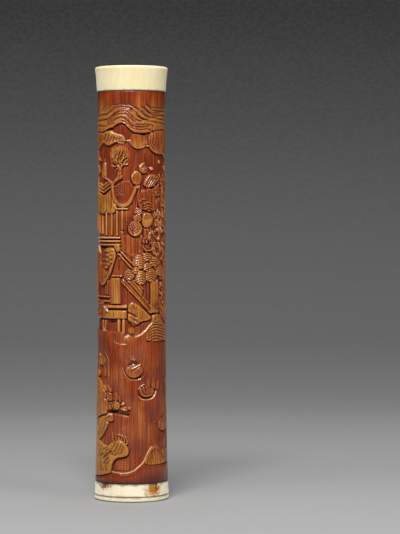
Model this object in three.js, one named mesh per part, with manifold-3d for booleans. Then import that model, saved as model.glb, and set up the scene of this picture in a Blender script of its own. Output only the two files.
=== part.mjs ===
// Carved bamboo incense holder with turned end fittings.
// Units are millimetres. +Z is up, the origin is the centre of the underside, and the front looks along -Y.
import * as THREE from 'three';
import { mergeVertices } from 'three/addons/utils/BufferGeometryUtils.js';
import Module from 'manifold-3d';

const wasm = await Module();
wasm.setup();

// Driving dimensions of the tube
const tubeLength = 190.9;
const tubeTopRadius = 16.6; // highest relief, at the upper end
const wallThickness = 4.3; // from the bore out to the highest relief, at the upper end
const tubeTaper = 0.55; // growth of the radius down the whole length
const rootFlare = 0.8; // extra growth close to the foot, as at the root end of a culm
const rootFlarePower = 6;
const reliefDepth = 1; // highest relief down to the sunk ground
const middleRelief = 0.3; // how far the second layer lies below the highest
const pondDepth = 0.6; // highest relief down to the water
const topBand = 6; // plain band left at the upper end
const bottomBand = 6.5; // plain band left at the lower end
const sinkUnderGround = 0.8; // how far a motif is rooted in the wall below the ground

// Driving dimensions of the foot
const plateThickness = 2.5;
const footFlare = 0.4; // how far the plate stands out past the ring's upper edge
const ringBellyShare = 0.3; // of the foot's flare that the ring's belly has
const ringBellyPlace = 0.45; // of the ring's height
const plateEdgeRound = 0.9;
const registerHeight = 1; // raised step that centres the ring on the plate
const ringHeight = 6.5;
const ringSpigotWall = 3;
const ringSpigotHeight = 5;
const seamGroove = 0.35; // small groove where plate and ring meet

// Driving dimensions of the stick socket
const socketTenonRadius = 2.4;
const socketTenonLength = 1.9;
const socketFlangeWidth = 2.7; // past the neck
const socketFlangeHeight = 1.4;
const socketFlangeRim = 0.84; // upright part of the flange, below its slope
const socketWaistGrowth = 1; // how much wider the neck is at its waist
const socketWaistPlace = 0.3; // of the socket's height
const socketNeckPlace = 0.6; // of the socket's height
const socketHeight = 10;
const stickHoleRadius = 1.4;
const stickHoleWall = 1.3;
const stickHoleDepth = 8;
const socketLip = 0.3; // small bead round the mouth

// Driving dimensions of the lid
const lidHeight = 12.1;
const lidOverhang = 0.3; // past the tube's upper end
const lidFlare = 0.95; // growth from the lid's lower edge to its top
const lidBellyShare = 0.35; // of the lid's flare that its belly has
const lidBellyPlace = 0.5; // of the lid's height
const lidLipRound = 1;
const lidDishDepth = 0.25; // the top is very slightly hollow inside its lip
const lidSpigotLength = 6;
const lidSpigotWall = 4;
const lidRecessRound = 1;
const lidWallAboveRecess = 4.6;

// Clearances between pieces
const slipClearance = 0.3;

// How finely round forms are divided
const turnFacets = 36;
const tubeFacets = 22;
const socketFacets = 16;
const tubeSteps = 2;
const ovalCorners = 6;

// Sizes and places that follow from those above
const boreRadius = tubeTopRadius - wallThickness;
const spigotRadius = boreRadius - slipClearance;
const ringTopRadius = tubeTopRadius + tubeTaper + rootFlare;
const plateRadius = ringTopRadius + footFlare;
const ringBoreRadius = spigotRadius - ringSpigotWall;
const registerRadius = ringBoreRadius - slipClearance;
const socketNeckRadius = stickHoleRadius + stickHoleWall;
const socketFlangeRadius = socketNeckRadius + socketFlangeWidth;
const lidBottomRadius = tubeTopRadius + lidOverhang;
const lidTopRadius = lidBottomRadius + lidFlare;
const lidRecessRadius = spigotRadius - lidSpigotWall;
const ringBase = plateThickness;
const tubeBase = ringBase + ringHeight;
const tubeTop = tubeBase + tubeLength;
const lidTop = tubeTop + lidHeight;
const fieldBottom = tubeBase + bottomBand;
const fieldTop = tubeTop - topBand;

const fullTurn = Math.PI * 2;
const quarterTurn = Math.PI / 2;

// The carver's drawing of one view: across from its middle line, as seen straight on, and up above the table
const drawing = { halfWidth: 17, foot: 15.5, head: 193.9 };
const leftEdge = -drawing.halfWidth;
const rightEdge = drawing.halfWidth;
const edgeOverrun = 1; // how far a line that runs on round the tube is drawn past both sides

// Solids for joining and cutting
function solidFrom(geometry) {
  const bare = geometry.clone();
  bare.deleteAttribute('normal');
  bare.deleteAttribute('uv');
  const merged = mergeVertices(bare);
  const index = merged.index.array;
  const corners = [];
  for (let i = 0; i < index.length; i += 3) {
    const [a, b, c] = [index[i], index[i + 1], index[i + 2]];
    const isFlatSliver = a === b || b === c || c === a;
    if (!isFlatSliver) corners.push(a, b, c);
  }
  const vertProperties = new Float32Array(merged.attributes.position.array);
  return new wasm.Manifold(new wasm.Mesh({ numProp: 3, vertProperties, triVerts: new Uint32Array(corners) }));
}

function geometryFrom(solid) {
  const mesh = solid.getMesh();
  const geometry = new THREE.BufferGeometry();
  geometry.setAttribute('position', new THREE.BufferAttribute(new Float32Array(mesh.vertProperties), 3));
  geometry.setIndex(new THREE.BufferAttribute(new Uint32Array(mesh.triVerts), 1));
  geometry.computeVertexNormals();
  return geometry;
}

// A turned form: the profile is a list of [radius, height], outer wall upwards, inner wall downwards
function turned(profile, facets = turnFacets) {
  const points = profile.map(([radius, height]) => new THREE.Vector2(radius, height));
  return new THREE.LatheGeometry(points, facets).rotateX(quarterTurn);
}

// Points of a quarter round from one angle to another, for a turned profile
function quarterRound(centreRadius, centreHeight, round, fromAngle, toAngle, steps = 3) {
  return Array.from({ length: steps + 1 }, (_, i) => {
    const angle = fromAngle + ((toAngle - fromAngle) * i) / steps;
    return [centreRadius + round * Math.cos(angle), centreHeight + round * Math.sin(angle)];
  });
}

// Radius of the highest relief at a height: an even taper, and a flare towards the root end
function crestRadius(height) {
  const fall = (tubeTop - height) / tubeLength;
  return tubeTopRadius + tubeTaper * fall + rootFlare * fall ** rootFlarePower;
}

// A sleeve round the tube between two heights, from an inner radius out to a depth below the crest
function sleeve(innerRadius, depthBelowCrest, low, high) {
  const outer = Array.from({ length: tubeSteps + 1 }, (_, i) => {
    const height = low + (high - low) * (i / tubeSteps) ** 2;
    return [crestRadius(height) - depthBelowCrest, height];
  });
  return turned([...outer, [innerRadius, high], [innerRadius, low], outer[0]], tubeFacets);
}

// A sleeve whose lower and upper edges rise and fall with the angle round the tube
function wavySleeve(innerRadius, depthBelowCrest, lowAt, highAt) {
  const [inner, outer, low, high] = [1, 2, 0, 1]; // marks that the loop turns into radii and heights
  const ring = turned([[outer, low], [outer, high], [inner, high], [inner, low], [outer, low]], tubeFacets);
  const place = ring.attributes.position;
  for (let i = 0; i < place.count; i += 1) {
    const angle = Math.atan2(place.getX(i), -place.getY(i));
    const height = Math.round(place.getZ(i)) === high ? highAt(angle) : lowAt(angle);
    const isOuter = Math.round(Math.hypot(place.getX(i), place.getY(i))) === outer;
    const radius = isOuter ? crestRadius(height) - depthBelowCrest : innerRadius;
    place.setXYZ(i, radius * Math.sin(angle), -radius * Math.cos(angle), height);
  }
  return ring;
}

// From the drawing to the tube: a height, and a place on the unrolled face
function heightAt(drawnHeight) {
  return THREE.MathUtils.mapLinear(drawnHeight, drawing.foot, drawing.head, fieldBottom, fieldTop);
}

function unrolled([across, up]) {
  const share = THREE.MathUtils.clamp(across / drawing.halfWidth, -1, 1);
  return new THREE.Vector2(drawing.halfWidth * Math.asin(share), up);
}

// The height of a drawn edge at an angle round the tube; the back repeats the front
function edgeHeight(edge, angle) {
  const across = drawing.halfWidth * Math.sin(angle);
  const next = edge.findIndex(([x]) => x > across);
  const [x1, z1] = edge[next - 1];
  const [x2, z2] = edge[next];
  return heightAt(THREE.MathUtils.mapLinear(across, x1, x2, z1, z2));
}

// Layers of relief, filled by the scenery below
const layers = {
  high: { depth: 0, motifs: [] },
  middle: { depth: middleRelief, motifs: [] },
};
const slits = [];

// A prism that stands out from the axis through an outline given on the unrolled face
function outward(view, points) {
  const start = boreRadius / 2;
  const reach = plateRadius;
  const centre = new THREE.Box2().setFromPoints(points).getCenter(new THREE.Vector2());
  const turn = view.turn + (view.side * centre.x) / drawing.halfWidth;
  const flat = points.map(({ x, y }) => {
    const turnFromCentre = (x - centre.x) / drawing.halfWidth;
    return new THREE.Vector2(view.side * drawing.halfWidth * Math.sin(turnFromCentre), y - centre.y);
  });
  const across = new THREE.Vector3(Math.cos(turn), Math.sin(turn), 0);
  const out = new THREE.Vector3(Math.sin(turn), -Math.cos(turn), 0);
  const up = new THREE.Vector3(0, 0, 1);
  const prism = new THREE.ExtrudeGeometry(new THREE.Shape(flat), { depth: reach, bevelEnabled: false });
  prism.applyMatrix4(new THREE.Matrix4().makeBasis(across, up, out));
  prism.translate(out.x * start, out.y * start, heightAt(centre.y));
  return solidFrom(prism);
}

// A form with straight sides between the drawn points
function form(view, points, layer = 'high') {
  layers[layer].motifs.push(outward(view, points.map(unrolled)));
}

function oval(view, x, z, width, height, layer = 'high', tilt = 0) {
  const lean = THREE.MathUtils.degToRad(tilt);
  const points = Array.from({ length: ovalCorners }, (_, i) => {
    const angle = (fullTurn * (i + 0.5)) / ovalCorners;
    const point = new THREE.Vector2((Math.cos(angle) * width) / 2, (Math.sin(angle) * height) / 2);
    point.rotateAround(new THREE.Vector2(), lean);
    return [x + point.x, z + point.y];
  });
  form(view, points, layer);
}

// The outline of a band of even or tapering width along a drawn line
function bandOutline(line, width, endWidth) {
  const path = line.map(unrolled);
  const last = path.length - 1;
  const sides = path.map((point, i) => {
    const along = path[Math.min(i + 1, last)].clone().sub(path[Math.max(i - 1, 0)]).normalize();
    const half = THREE.MathUtils.lerp(width, endWidth, i / last) / 2;
    return new THREE.Vector2(-along.y * half, along.x * half);
  });
  const left = path.map((point, i) => point.clone().add(sides[i]));
  const right = path.map((point, i) => point.clone().sub(sides[i]));
  return [...left, ...right.reverse()];
}

function ridge(view, line, width, layer = 'high', endWidth = width) {
  layers[layer].motifs.push(outward(view, bandOutline(line, width, endWidth)));
}

// A slit that lets smoke out: widest in its middle, thin at its ends
function slit(view, from, to, width) {
  const [start, end] = [unrolled(from), unrolled(to)];
  const middle = start.clone().lerp(end, 0.5);
  const along = end.clone().sub(start).normalize();
  const side = new THREE.Vector2(-along.y, along.x).multiplyScalar(width / 2);
  slits.push(outward(view, [start, middle.clone().sub(side), end, middle.clone().add(side)]));
}

// Lobes of cloud that hang below the stream
function clouds(view) {
  form(view, [
    [leftEdge, 186], [-13.6, 185], [-12.6, 180.5], [-6.6, 178.6], [-2.6, 175.2],
    [-9.1, 174.3], [-14, 174.7], [leftEdge, 170.7],
  ]);
  const middleLobe = [
    [-1, 175], [1.2, 178.7], [5.2, 180], [10, 179], [9.8, 172.8], [5.2, 171.7], [0.7, 172.5],
  ];
  form(view, middleLobe, 'middle');
  form(view, [[8.8, 184], [rightEdge, 184], [rightEdge, 169.2], [13.1, 169.3], [9.4, 172.4], [9, 176]]);
  slit(view, [-12, 181.3], [-9.2, 181.7], 0.8);
  slit(view, [4.5, 178.7], [7.8, 178.8], 0.85);
}

// A bare tree with a forked crown
function bareTree(view) {
  ridge(view, [[-8.8, 155.6], [-6.6, 158.2], [-6, 160.5], [-6.5, 163.4]], 2.2, 'high', 1.3);
  ridge(view, [[-6.2, 162.1], [-8.8, 164.9], [-10.5, 169.6]], 1.2, 'high', 0.6);
  ridge(view, [[-6, 161.2], [-3.7, 163.9], [-1.8, 164]], 1.2, 'high', 0.6);
  ridge(view, [[-8.9, 165.1], [-6.2, 170.9]], 0.9, 'middle', 0.5);
}

// The corner of a pavilion: finial, stepped mouldings, tiles with round ends and an eave that dips
function pavilionRoof(view) {
  const mouldings = 3;
  const mouldingWidth = 0.85;
  form(view, [[-13.8, 164], [-13, 159.8], [-13.3, 157.4], [-14.2, 157.4], [-14.6, 159.7]]);
  ridge(view, [[-13.8, 157.8], [-12, 156.8], [-9.8, 154.9]], 1);
  for (let i = 0; i < mouldings; i += 1) {
    const left = [-15.7 - 0.5 * i, 155.1 - 1.45 * i];
    const dip = [-14.3, 153.7 - 1.55 * i];
    const right = [-12.1 + 1.15 * i, 155.5 - 0.9 * i];
    ridge(view, [left, dip, right], mouldingWidth);
  }
  form(view, [
    [leftEdge, 151], [-14.2, 149.1], [-10.1, 152.4], [-7.6, 143.2], [-8.3, 141.2],
    [-10.4, 140.2], [-12.7, 142], [-14.7, 140.2], [leftEdge, 142.6],
  ]);
  ridge(view, [[-9.8, 154.3], [-9.1, 148.3], [-5.8, 144.4], [-3.2, 144.4], [0.5, 148.8], [3.1, 153.7]], 1.8);
  form(view, [[2, 154.7], [4.5, 154.5], [4.3, 152.3], [2.4, 152.3]]);
  ridge(view, [[4, 152.2], [2.2, 142]], 1, 'middle', 0.6);
  ridge(view, [[-7.8, 142.6], [-2.1, 142.6]], 0.85);
  slit(view, [-15.6, 139.6], [-13.4, 139.7], 0.6);
}

// Upright slats over three beams and a bracket
function pavilionWall(view) {
  const slats = [-16.2, -14.8, -12.8, -10.2, -7.5, -4.8];
  slats.forEach((x) => ridge(view, [[x, 130.2], [x, 140.4]], 0.9, 'middle'));
  [128.5, 126.8, 125.1].forEach((z) => ridge(view, [[-16.9, z], [-6.1, z]], 0.95));
  form(view, [[-9, 125.8], [-6.3, 125.8], [-5.5, 122.8], [-6.7, 121.4], [-8.8, 123.8]]);
  slit(view, [-15.7, 123.9], [-10.8, 123.9], 0.75);
}

// A branch that hangs down with its leaves folded over
function berryBranch(view) {
  form(view, [
    [leftEdge, 121.6], [-15.3, 121.1], [-12.1, 123.7], [-9.6, 123.7], [-8.2, 119.2],
    [-10.6, 111.6], [-13.7, 105.8], [-15, 105.3], [leftEdge, 113],
  ]);
}

// A string of heavy seed heads and leaves
function seedHeads(view) {
  oval(view, 6.2, 161.8, 4.3, 4.3);
  oval(view, 2.4, 157.6, 5.3, 6.4);
  oval(view, 10.3, 156.2, 8, 5.2, 'high', 16);
  oval(view, 11.5, 151, 6.6, 4.4);
  oval(view, 8.6, 146.8, 9.8, 9.2, 'middle');
  oval(view, 3.5, 141.3, 4.2, 3.2);
  oval(view, 3.1, 138, 4.4, 3.8);
  oval(view, 8.2, 137, 5.2, 7);
  oval(view, 1.6, 133, 6.8, 7.2);
  slit(view, [8.2, 127.2], [10.3, 124.7], 0.8);
}

// Strands of rough rock and bark that close the view
function barkWall(view) {
  const strands = [
    { x: 11.6, low: 119, high: 132, width: 2.6 },
    { x: 13.4, low: 119, high: 151, width: 2.8 },
    { x: 15.6, low: 94, high: 167, width: 3.2 },
  ];
  const bend = 9; // height between one bend and the next
  const sway = 0.45;
  const thinning = 0.7; // width at the upper end, as a share of the lower
  strands.forEach(({ x, low, high, width }) => {
    const bends = Math.round((high - low) / bend);
    const line = Array.from({ length: bends + 1 }, (_, i) => {
      return [x + sway * (-1) ** i, low + ((high - low) * i) / bends];
    });
    ridge(view, line, width, 'middle', width * thinning);
  });
}

// Domed tufts of pine
function pineTufts(view) {
  oval(view, 3.9, 116.9, 6.4, 6.4);
  oval(view, 4.9, 109.6, 5.6, 6.2);
  oval(view, 10, 110.8, 5, 6.2);
  oval(view, -0.9, 110.7, 4.8, 4.8);
  oval(view, 11.6, 116.7, 4.8, 4);
  oval(view, 7.6, 119, 4.6, 3.6);
  oval(view, 8.1, 114.6, 4.4, 4);
  oval(view, 14.2, 112.8, 3.4, 4.6);
}

// Slanting rails between two square posts, with a panel below
function gardenRail(view) {
  const railWidth = 0.8;
  const posts = [
    [[-10, 109.1], [-5.8, 109.1], [-5.8, 96.3], [-10, 96.3]],
    [[9.6, 107.9], [13.3, 107.9], [13.3, 91.9], [9.6, 91.9]],
  ];
  const rails = [
    [[-5.5, 121.9], [3.1, 113.2]], [[-5.9, 120], [1.4, 112.5]], [[-5.3, 107.6], [9.7, 91.7]],
    [[-3.2, 109], [10.9, 93.6]], [[-9.9, 110], [-5, 110]], [[-16.9, 100], [-11.3, 99.8]],
    [[-16.9, 98], [-11.1, 97.6]],
  ];
  posts.forEach((points) => form(view, points));
  rails.forEach((line) => ridge(view, line, railWidth));
  form(view, [[-5.4, 108.4], [-2.4, 109.3], [10.9, 93.9], [9.6, 91.6]], 'middle');
  form(view, [[-1.4, 107.8], [2, 108.5], [6, 103.9], [5.4, 99.9]], 'middle');
  oval(view, 12.7, 96.2, 3.6, 4.2);
}

// A low table with four legs, and a stone beside it
function stoneTable(view) {
  form(view, [[leftEdge, 94.6], [-14, 95.9], [-12.1, 93.9], [-12.4, 91.6], [-14, 89.7], [leftEdge, 89.2]]);
  form(view, [[-12.6, 95.9], [-2.1, 95.9], [-2.1, 94.3], [-12, 94.3]]);
  form(view, [[-12.2, 93.3], [-2.5, 93.3], [-2.5, 89.2], [-14.5, 89.2]]);
  [[-14.3, 0.85], [-13.1, 0.85], [-6.5, 1.6], [-4.1, 1.6]].forEach(([x, width]) => {
    ridge(view, [[x, 82.7], [x, 89]], width);
  });
  slit(view, [-12, 88], [-7.7, 88], 0.8);
}

// The broken ledge beside the table and the hill at the end of the bank
function ledgeAndHill(view) {
  form(view, [[-1.7, 95.8], [2.7, 96.3], [9.9, 89.5], [5.2, 87.8], [1.5, 85.6], [-1.9, 88.5]], 'middle');
  form(view, [
    [10.6, 90], [12.6, 91.7], [15.5, 87.6], [rightEdge, 83.7], [rightEdge, 78.5], [7.9, 78.6], [7.6, 81.4],
  ]);
}

// Lotus and reeds on the pond
function pondPlants(view) {
  oval(view, -14.8, 69, 3.1, 5.2, 'middle');
  ridge(view, [[-13.1, 72.2], [-11.5, 66.2], [-11.6, 61]], 0.8);
  oval(view, 0.9, 70.4, 3.6, 3.3, 'middle');
  const lotus = [[-3.1, 64], [-0.7, 66.2], [1.4, 64.5], [4.4, 66.7], [5.6, 64.4], [2.6, 60.8], [-2.1, 61.7]];
  form(view, lotus, 'middle');
  ridge(view, [[0.1, 64.6], [4.4, 67]], 0.95);
  form(view, [[7.4, 56], [8.4, 60.8], [13.4, 60.8], [13.8, 56]], 'middle');
  form(view, [[3.5, 55], [6.9, 57.3], [11.1, 55], [9.1, 51.3], [4.7, 52.2]], 'middle');
  ridge(view, [[3.2, 51.6], [4.9, 50.2], [7.4, 49.7], [10.1, 50.3], [12.3, 53.8]], 1);
}

// Rocks at the water with a spray of flowers
function flowerRocks(view) {
  const petals = [
    [-12, 55.1, 4, 3.8], [-9.4, 51.4, 5.6, 4.2], [-7.9, 47.1, 3.8, 3.9], [-4, 46.2, 3.8, 4.2],
    [-10.8, 41.2, 3.3, 4.2],
  ];
  form(view, [[leftEdge, 60.2], [-14.5, 57.7], [-12.1, 49.7], [-12.3, 43], [-15.8, 41.2], [leftEdge, 39.5]]);
  form(view, [[leftEdge, 39.2], [-13.3, 41.7], [-11.5, 38], [-14.3, 31.7], [leftEdge, 28.6]]);
  petals.forEach(([x, z, width, height]) => oval(view, x, z, width, height));
  slit(view, [-11.7, 43.8], [-6.9, 43.8], 0.75);
}

// Rocks and hills along the shore
function shoreRocks(view) {
  form(view, [
    [leftEdge, 29.7], [-11.9, 27.4], [-6.2, 30.5], [-2.3, 27.5], [-1.9, 23.1],
    [-6.5, 21.6], [-10.1, 15.2], [leftEdge, 13],
  ]);
  form(view, [[6.4, 18], [8.9, 25.5], [11.5, 27.6], [13.8, 25.4], [16.4, 18]]);
  form(view, [[14.3, 23.9], [15.7, 26.1], [rightEdge, 25], [rightEdge, 18], [15.4, 18]]);
  oval(view, 15.2, 37.3, 4.2, 6.4, 'middle');
}

// An old pine between the two views: trunk that bends to and fro, with tufts at its boughs
function flankPine(view) {
  const bends = 8;
  const tufts = [
    [-4.6, 59.6], [4.8, 77.6], [-4.6, 99.6], [4.4, 117.6], [-4.4, 135.6], [4.2, 149.6], [0.6, 165.6],
  ];
  const trunk = Array.from({ length: bends + 1 }, (_, i) => [0.7 * (-1) ** i, 18 + (146 * i) / bends]);
  ridge(view, trunk, 4.4, 'high', 2);
  tufts.forEach(([x, z]) => oval(view, x, z, 4.4, 3.6));
}

// The pavilion's corner post, with the roof's finial above and a second post below
function flankPost(view) {
  form(view, [[-1.7, 131.5], [1.7, 131.5], [1.7, 141], [-1.7, 141]]);
  form(view, [[-2.6, 156], [0, 158.6], [2.6, 156], [1.6, 165], [0, 171], [-1.6, 165]]);
  form(view, [[-2.2, 96.5], [2.2, 96.5], [2.2, 123], [-2.2, 123]]);
}

// The same garden is carved twice, the second time as its mirror image at the back
function gardenView(view) {
  clouds(view);
  bareTree(view);
  pavilionRoof(view);
  pavilionWall(view);
  berryBranch(view);
  seedHeads(view);
  barkWall(view);
  pineTufts(view);
  gardenRail(view);
  stoneTable(view);
  ledgeAndHill(view);
  pondPlants(view);
  flowerRocks(view);
  shoreRocks(view);
}

const halfTurn = fullTurn / 2;
gardenView({ turn: 0, side: 1 });
gardenView({ turn: halfTurn, side: -1 });
flankPine({ turn: quarterTurn, side: 1 });
flankPost({ turn: -quarterTurn, side: 1 });

// Edges that run on round the tube, from side to side of one view
const runningEdge = (leftHeight, points, rightHeight) => [
  [leftEdge - edgeOverrun, leftHeight], ...points, [rightEdge + edgeOverrun, rightHeight],
];
const streamPoints = [
  [-12, 181.2], [-8.5, 182.6], [-5, 184.2], [-2, 182.2], [1, 179.7], [4, 179.3], [9, 179.6], [13, 181],
];
const bankPoints = [[-4.6, 82.9], [-2, 80.4], [1.7, 80.4], [10.6, 86.5], [14, 79.2]];
const poolPoints = [[-12, 31], [-8, 35], [0, 38], [9, 38]];
const shorePoints = [[-10, 14.3], [-4.7, 13.8], [1, 15.2], [5.6, 19]];
const streamEdge = runningEdge(180.4, streamPoints, 181.5);
const bankEdge = runningEdge(82.9, bankPoints, 78.8);
const poolEdge = runningEdge(29, poolPoints, 35);
const shoreEdge = runningEdge(13.5, shorePoints, 18.5);
const bankFoot = 70;

// The tube: sunk ground, two layers of relief, the skin left along the edges above, the bore and the slits
function carvedTube() {
  const rooted = boreRadius + sinkUnderGround;
  const along = (edge) => (angle) => edgeHeight(edge, angle);
  const level = (height) => () => height;
  const skins = [
    wavySleeve(rooted, 0, level(tubeBase), along(shoreEdge)),
    wavySleeve(rooted, pondDepth, along(poolEdge), level(heightAt(bankFoot))),
    wavySleeve(rooted, middleRelief, level(heightAt(bankFoot)), along(bankEdge)),
    wavySleeve(rooted, 0, along(streamEdge), level(tubeTop)),
  ];
  let tube = solidFrom(sleeve(boreRadius, reliefDepth, tubeBase, tubeTop));
  Object.values(layers).forEach(({ depth, motifs }) => {
    const reliefShell = solidFrom(sleeve(rooted, depth, fieldBottom, fieldTop));
    const relief = motifs.reduce((joined, motif) => joined.add(motif));
    tube = tube.add(relief.intersect(reliefShell));
  });
  tube = skins.reduce((joined, skin) => joined.add(solidFrom(skin)), tube);
  return slits.reduce((cut, opening) => cut.subtract(opening), tube);
}

// The foot plate: rounded lower edge, register step, blind hole for the socket's tenon
function footPlate() {
  const holeFloor = plateThickness + registerHeight - socketTenonLength - slipClearance;
  const holeRadius = socketTenonRadius + slipClearance;
  return turned([
    [0, 0],
    ...quarterRound(plateRadius - plateEdgeRound, plateEdgeRound, plateEdgeRound, -quarterTurn, 0),
    [plateRadius, plateThickness - seamGroove],
    [plateRadius - seamGroove, plateThickness],
    [registerRadius, plateThickness],
    [registerRadius, plateThickness + registerHeight],
    [holeRadius, plateThickness + registerHeight],
    [holeRadius, holeFloor],
    [0, holeFloor],
  ]);
}

// The foot ring: flared wall, shoulder under the tube, spigot up into the bore
function footRing() {
  return turned([
    [ringBoreRadius, ringBase],
    [plateRadius - seamGroove, ringBase],
    [plateRadius, ringBase + seamGroove],
    [ringTopRadius + footFlare * ringBellyShare, ringBase + ringHeight * ringBellyPlace],
    [ringTopRadius, tubeBase],
    [spigotRadius, tubeBase],
    [spigotRadius, tubeBase + ringSpigotHeight - slipClearance],
    [spigotRadius - slipClearance, tubeBase + ringSpigotHeight],
    [ringBoreRadius, tubeBase + ringSpigotHeight],
    [ringBoreRadius, ringBase],
  ]);
}

// The stick socket: tenon, flange, waisted neck and a blind hole for the stick
function stickSocket() {
  const seat = plateThickness + registerHeight;
  const top = seat + socketHeight;
  return turned(
    [
      [0, seat - socketTenonLength],
      [socketTenonRadius, seat - socketTenonLength],
      [socketTenonRadius, seat],
      [socketFlangeRadius, seat],
      [socketFlangeRadius, seat + socketFlangeRim],
      [socketFlangeRadius - (socketFlangeHeight - socketFlangeRim), seat + socketFlangeHeight],
      [socketNeckRadius + socketWaistGrowth, seat + socketHeight * socketWaistPlace],
      [socketNeckRadius, seat + socketHeight * socketNeckPlace],
      [socketNeckRadius + socketLip, top - socketLip],
      [socketNeckRadius, top],
      [stickHoleRadius, top],
      [stickHoleRadius, top - stickHoleDepth],
      [0, top - stickHoleDepth],
    ],
    socketFacets,
  );
}

// The lid: flared wall, rounded lip round a faint dish, recess below and spigot into the bore
function lidCap() {
  const lipCentre = lidTopRadius - lidLipRound;
  return turned([
    [lidRecessRadius, tubeTop - lidSpigotLength],
    [spigotRadius - slipClearance, tubeTop - lidSpigotLength],
    [spigotRadius, tubeTop - lidSpigotLength + slipClearance],
    [spigotRadius, tubeTop],
    [lidBottomRadius, tubeTop],
    [lidBottomRadius + lidFlare * lidBellyShare, tubeTop + lidHeight * lidBellyPlace],
    ...quarterRound(lipCentre, lidTop - lidLipRound, lidLipRound, 0, quarterTurn),
    [lipCentre - lidLipRound, lidTop - lidDishDepth],
    [0, lidTop - lidDishDepth],
    [0, lidTop - lidWallAboveRecess],
    [lidRecessRadius - lidRecessRound, lidTop - lidWallAboveRecess],
    [lidRecessRadius, lidTop - lidWallAboveRecess - lidRecessRound],
    [lidRecessRadius, tubeTop - lidSpigotLength],
  ]);
}

const finishes = {
  bamboo: new THREE.MeshStandardMaterial({ color: 0x8f502a, roughness: 0.42, metalness: 0 }),
  bone: new THREE.MeshStandardMaterial({ color: 0xe7d4ac, roughness: 0.36, metalness: 0 }),
  brass: new THREE.MeshStandardMaterial({ color: 0x9a7a3c, roughness: 0.4, metalness: 0.9 }),
};

function piece(name, geometry, finish) {
  const mesh = new THREE.Mesh(geometry, finishes[finish]);
  mesh.name = name;
  return mesh;
}

const incenseHolder = new THREE.Group();
incenseHolder.add(
  piece('bamboo_tube', geometryFrom(carvedTube()), 'bamboo'),
  piece('foot_plate', footPlate(), 'bone'),
  piece('foot_ring', footRing(), 'bone'),
  piece('stick_socket', stickSocket(), 'brass'),
  piece('lid', lidCap(), 'bone'),
);

export default incenseHolder;
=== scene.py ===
import math
import bpy
import bmesh
import numpy as np
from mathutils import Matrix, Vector


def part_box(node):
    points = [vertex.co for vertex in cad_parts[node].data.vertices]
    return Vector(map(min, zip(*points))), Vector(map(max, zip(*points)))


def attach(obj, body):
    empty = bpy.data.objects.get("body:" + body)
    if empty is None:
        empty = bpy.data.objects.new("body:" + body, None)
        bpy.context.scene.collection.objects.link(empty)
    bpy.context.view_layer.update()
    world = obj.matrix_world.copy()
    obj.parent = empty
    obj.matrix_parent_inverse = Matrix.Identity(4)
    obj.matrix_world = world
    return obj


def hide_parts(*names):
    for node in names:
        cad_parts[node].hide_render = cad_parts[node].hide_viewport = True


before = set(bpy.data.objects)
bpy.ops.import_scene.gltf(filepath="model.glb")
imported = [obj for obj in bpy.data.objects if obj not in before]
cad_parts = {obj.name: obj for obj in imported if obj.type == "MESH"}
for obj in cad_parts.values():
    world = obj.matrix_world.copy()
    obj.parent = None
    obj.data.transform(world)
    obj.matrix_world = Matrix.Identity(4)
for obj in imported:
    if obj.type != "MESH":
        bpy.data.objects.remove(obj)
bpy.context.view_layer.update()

mm = 0.001
fullTurn = 2 * math.pi


# Camera: eye level at about two thirds of the holder's height, turned so that the holder stands left of
# the middle
cameraView = {
    "distance": 1.0295, "eyeHeight": 0.143, "lens": 141.0, "sensor": 36.0,
    "tiltDown": math.radians(1.616), "panRight": math.radians(1.876), "reach": 20.0,
}


def makeCamera():
    lens = bpy.data.cameras.new("studioCamera")
    lens.lens = cameraView["lens"]
    lens.sensor_width = cameraView["sensor"]
    lens.clip_end = cameraView["reach"]
    camera = bpy.data.objects.new("studioCamera", lens)
    camera.location = (0, -cameraView["distance"], cameraView["eyeHeight"])
    level = math.cos(cameraView["tiltDown"])
    look = Vector((math.sin(cameraView["panRight"]) * level,
                   math.cos(cameraView["panRight"]) * level,
                   -math.sin(cameraView["tiltDown"])))
    camera.rotation_mode = "QUATERNION"
    camera.rotation_quaternion = look.to_track_quat("-Z", "Y")
    bpy.context.collection.objects.link(camera)
    bpy.context.scene.camera = camera


makeCamera()


# Small helpers for node trees

def addNode(tree, kind, inputs=None, **settings):
    node = tree.nodes.new(kind)
    for name, value in settings.items():
        setattr(node, name, value)
    for name, value in (inputs or {}).items():
        if isinstance(value, bpy.types.NodeSocket):
            tree.links.new(value, node.inputs[name])
        else:
            node.inputs[name].default_value = value
    return node


def mathNode(tree, operation, first, second=0.0, clamp=False):
    inputs = {0: first, 1: second}
    return addNode(tree, "ShaderNodeMath", inputs, operation=operation, use_clamp=clamp).outputs[0]


def times(tree, first, second):
    return mathNode(tree, "MULTIPLY", first, second)


def vectorNode(tree, operation, inputs, output=0):
    return addNode(tree, "ShaderNodeVectorMath", dict(enumerate(inputs)), operation=operation).outputs[output]


def span(tree, value, low, high, toLow=0.0, toHigh=1.0):
    sockets = {"Value": value, "From Min": low, "From Max": high, "To Min": toLow, "To Max": toHigh}
    return addNode(tree, "ShaderNodeMapRange", sockets, clamp=True).outputs["Result"]


def noise(tree, place, scale, detail=2.0, seed=None, roughness=0.5):
    inputs = {"Vector": place, "Scale": scale, "Detail": detail, "Roughness": roughness}
    if seed is None:
        return addNode(tree, "ShaderNodeTexNoise", inputs).outputs["Fac"]
    return addNode(tree, "ShaderNodeTexNoise", {**inputs, "W": seed}, noise_dimensions="4D").outputs["Fac"]


def blendColour(tree, factor, first, second):
    # the mix node's sockets 0, 6 and 7 are its factor and two colours, and its output 2 is the blend
    return addNode(tree, "ShaderNodeMix", {0: factor, 6: first, 7: second}, data_type="RGBA").outputs[2]


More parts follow.
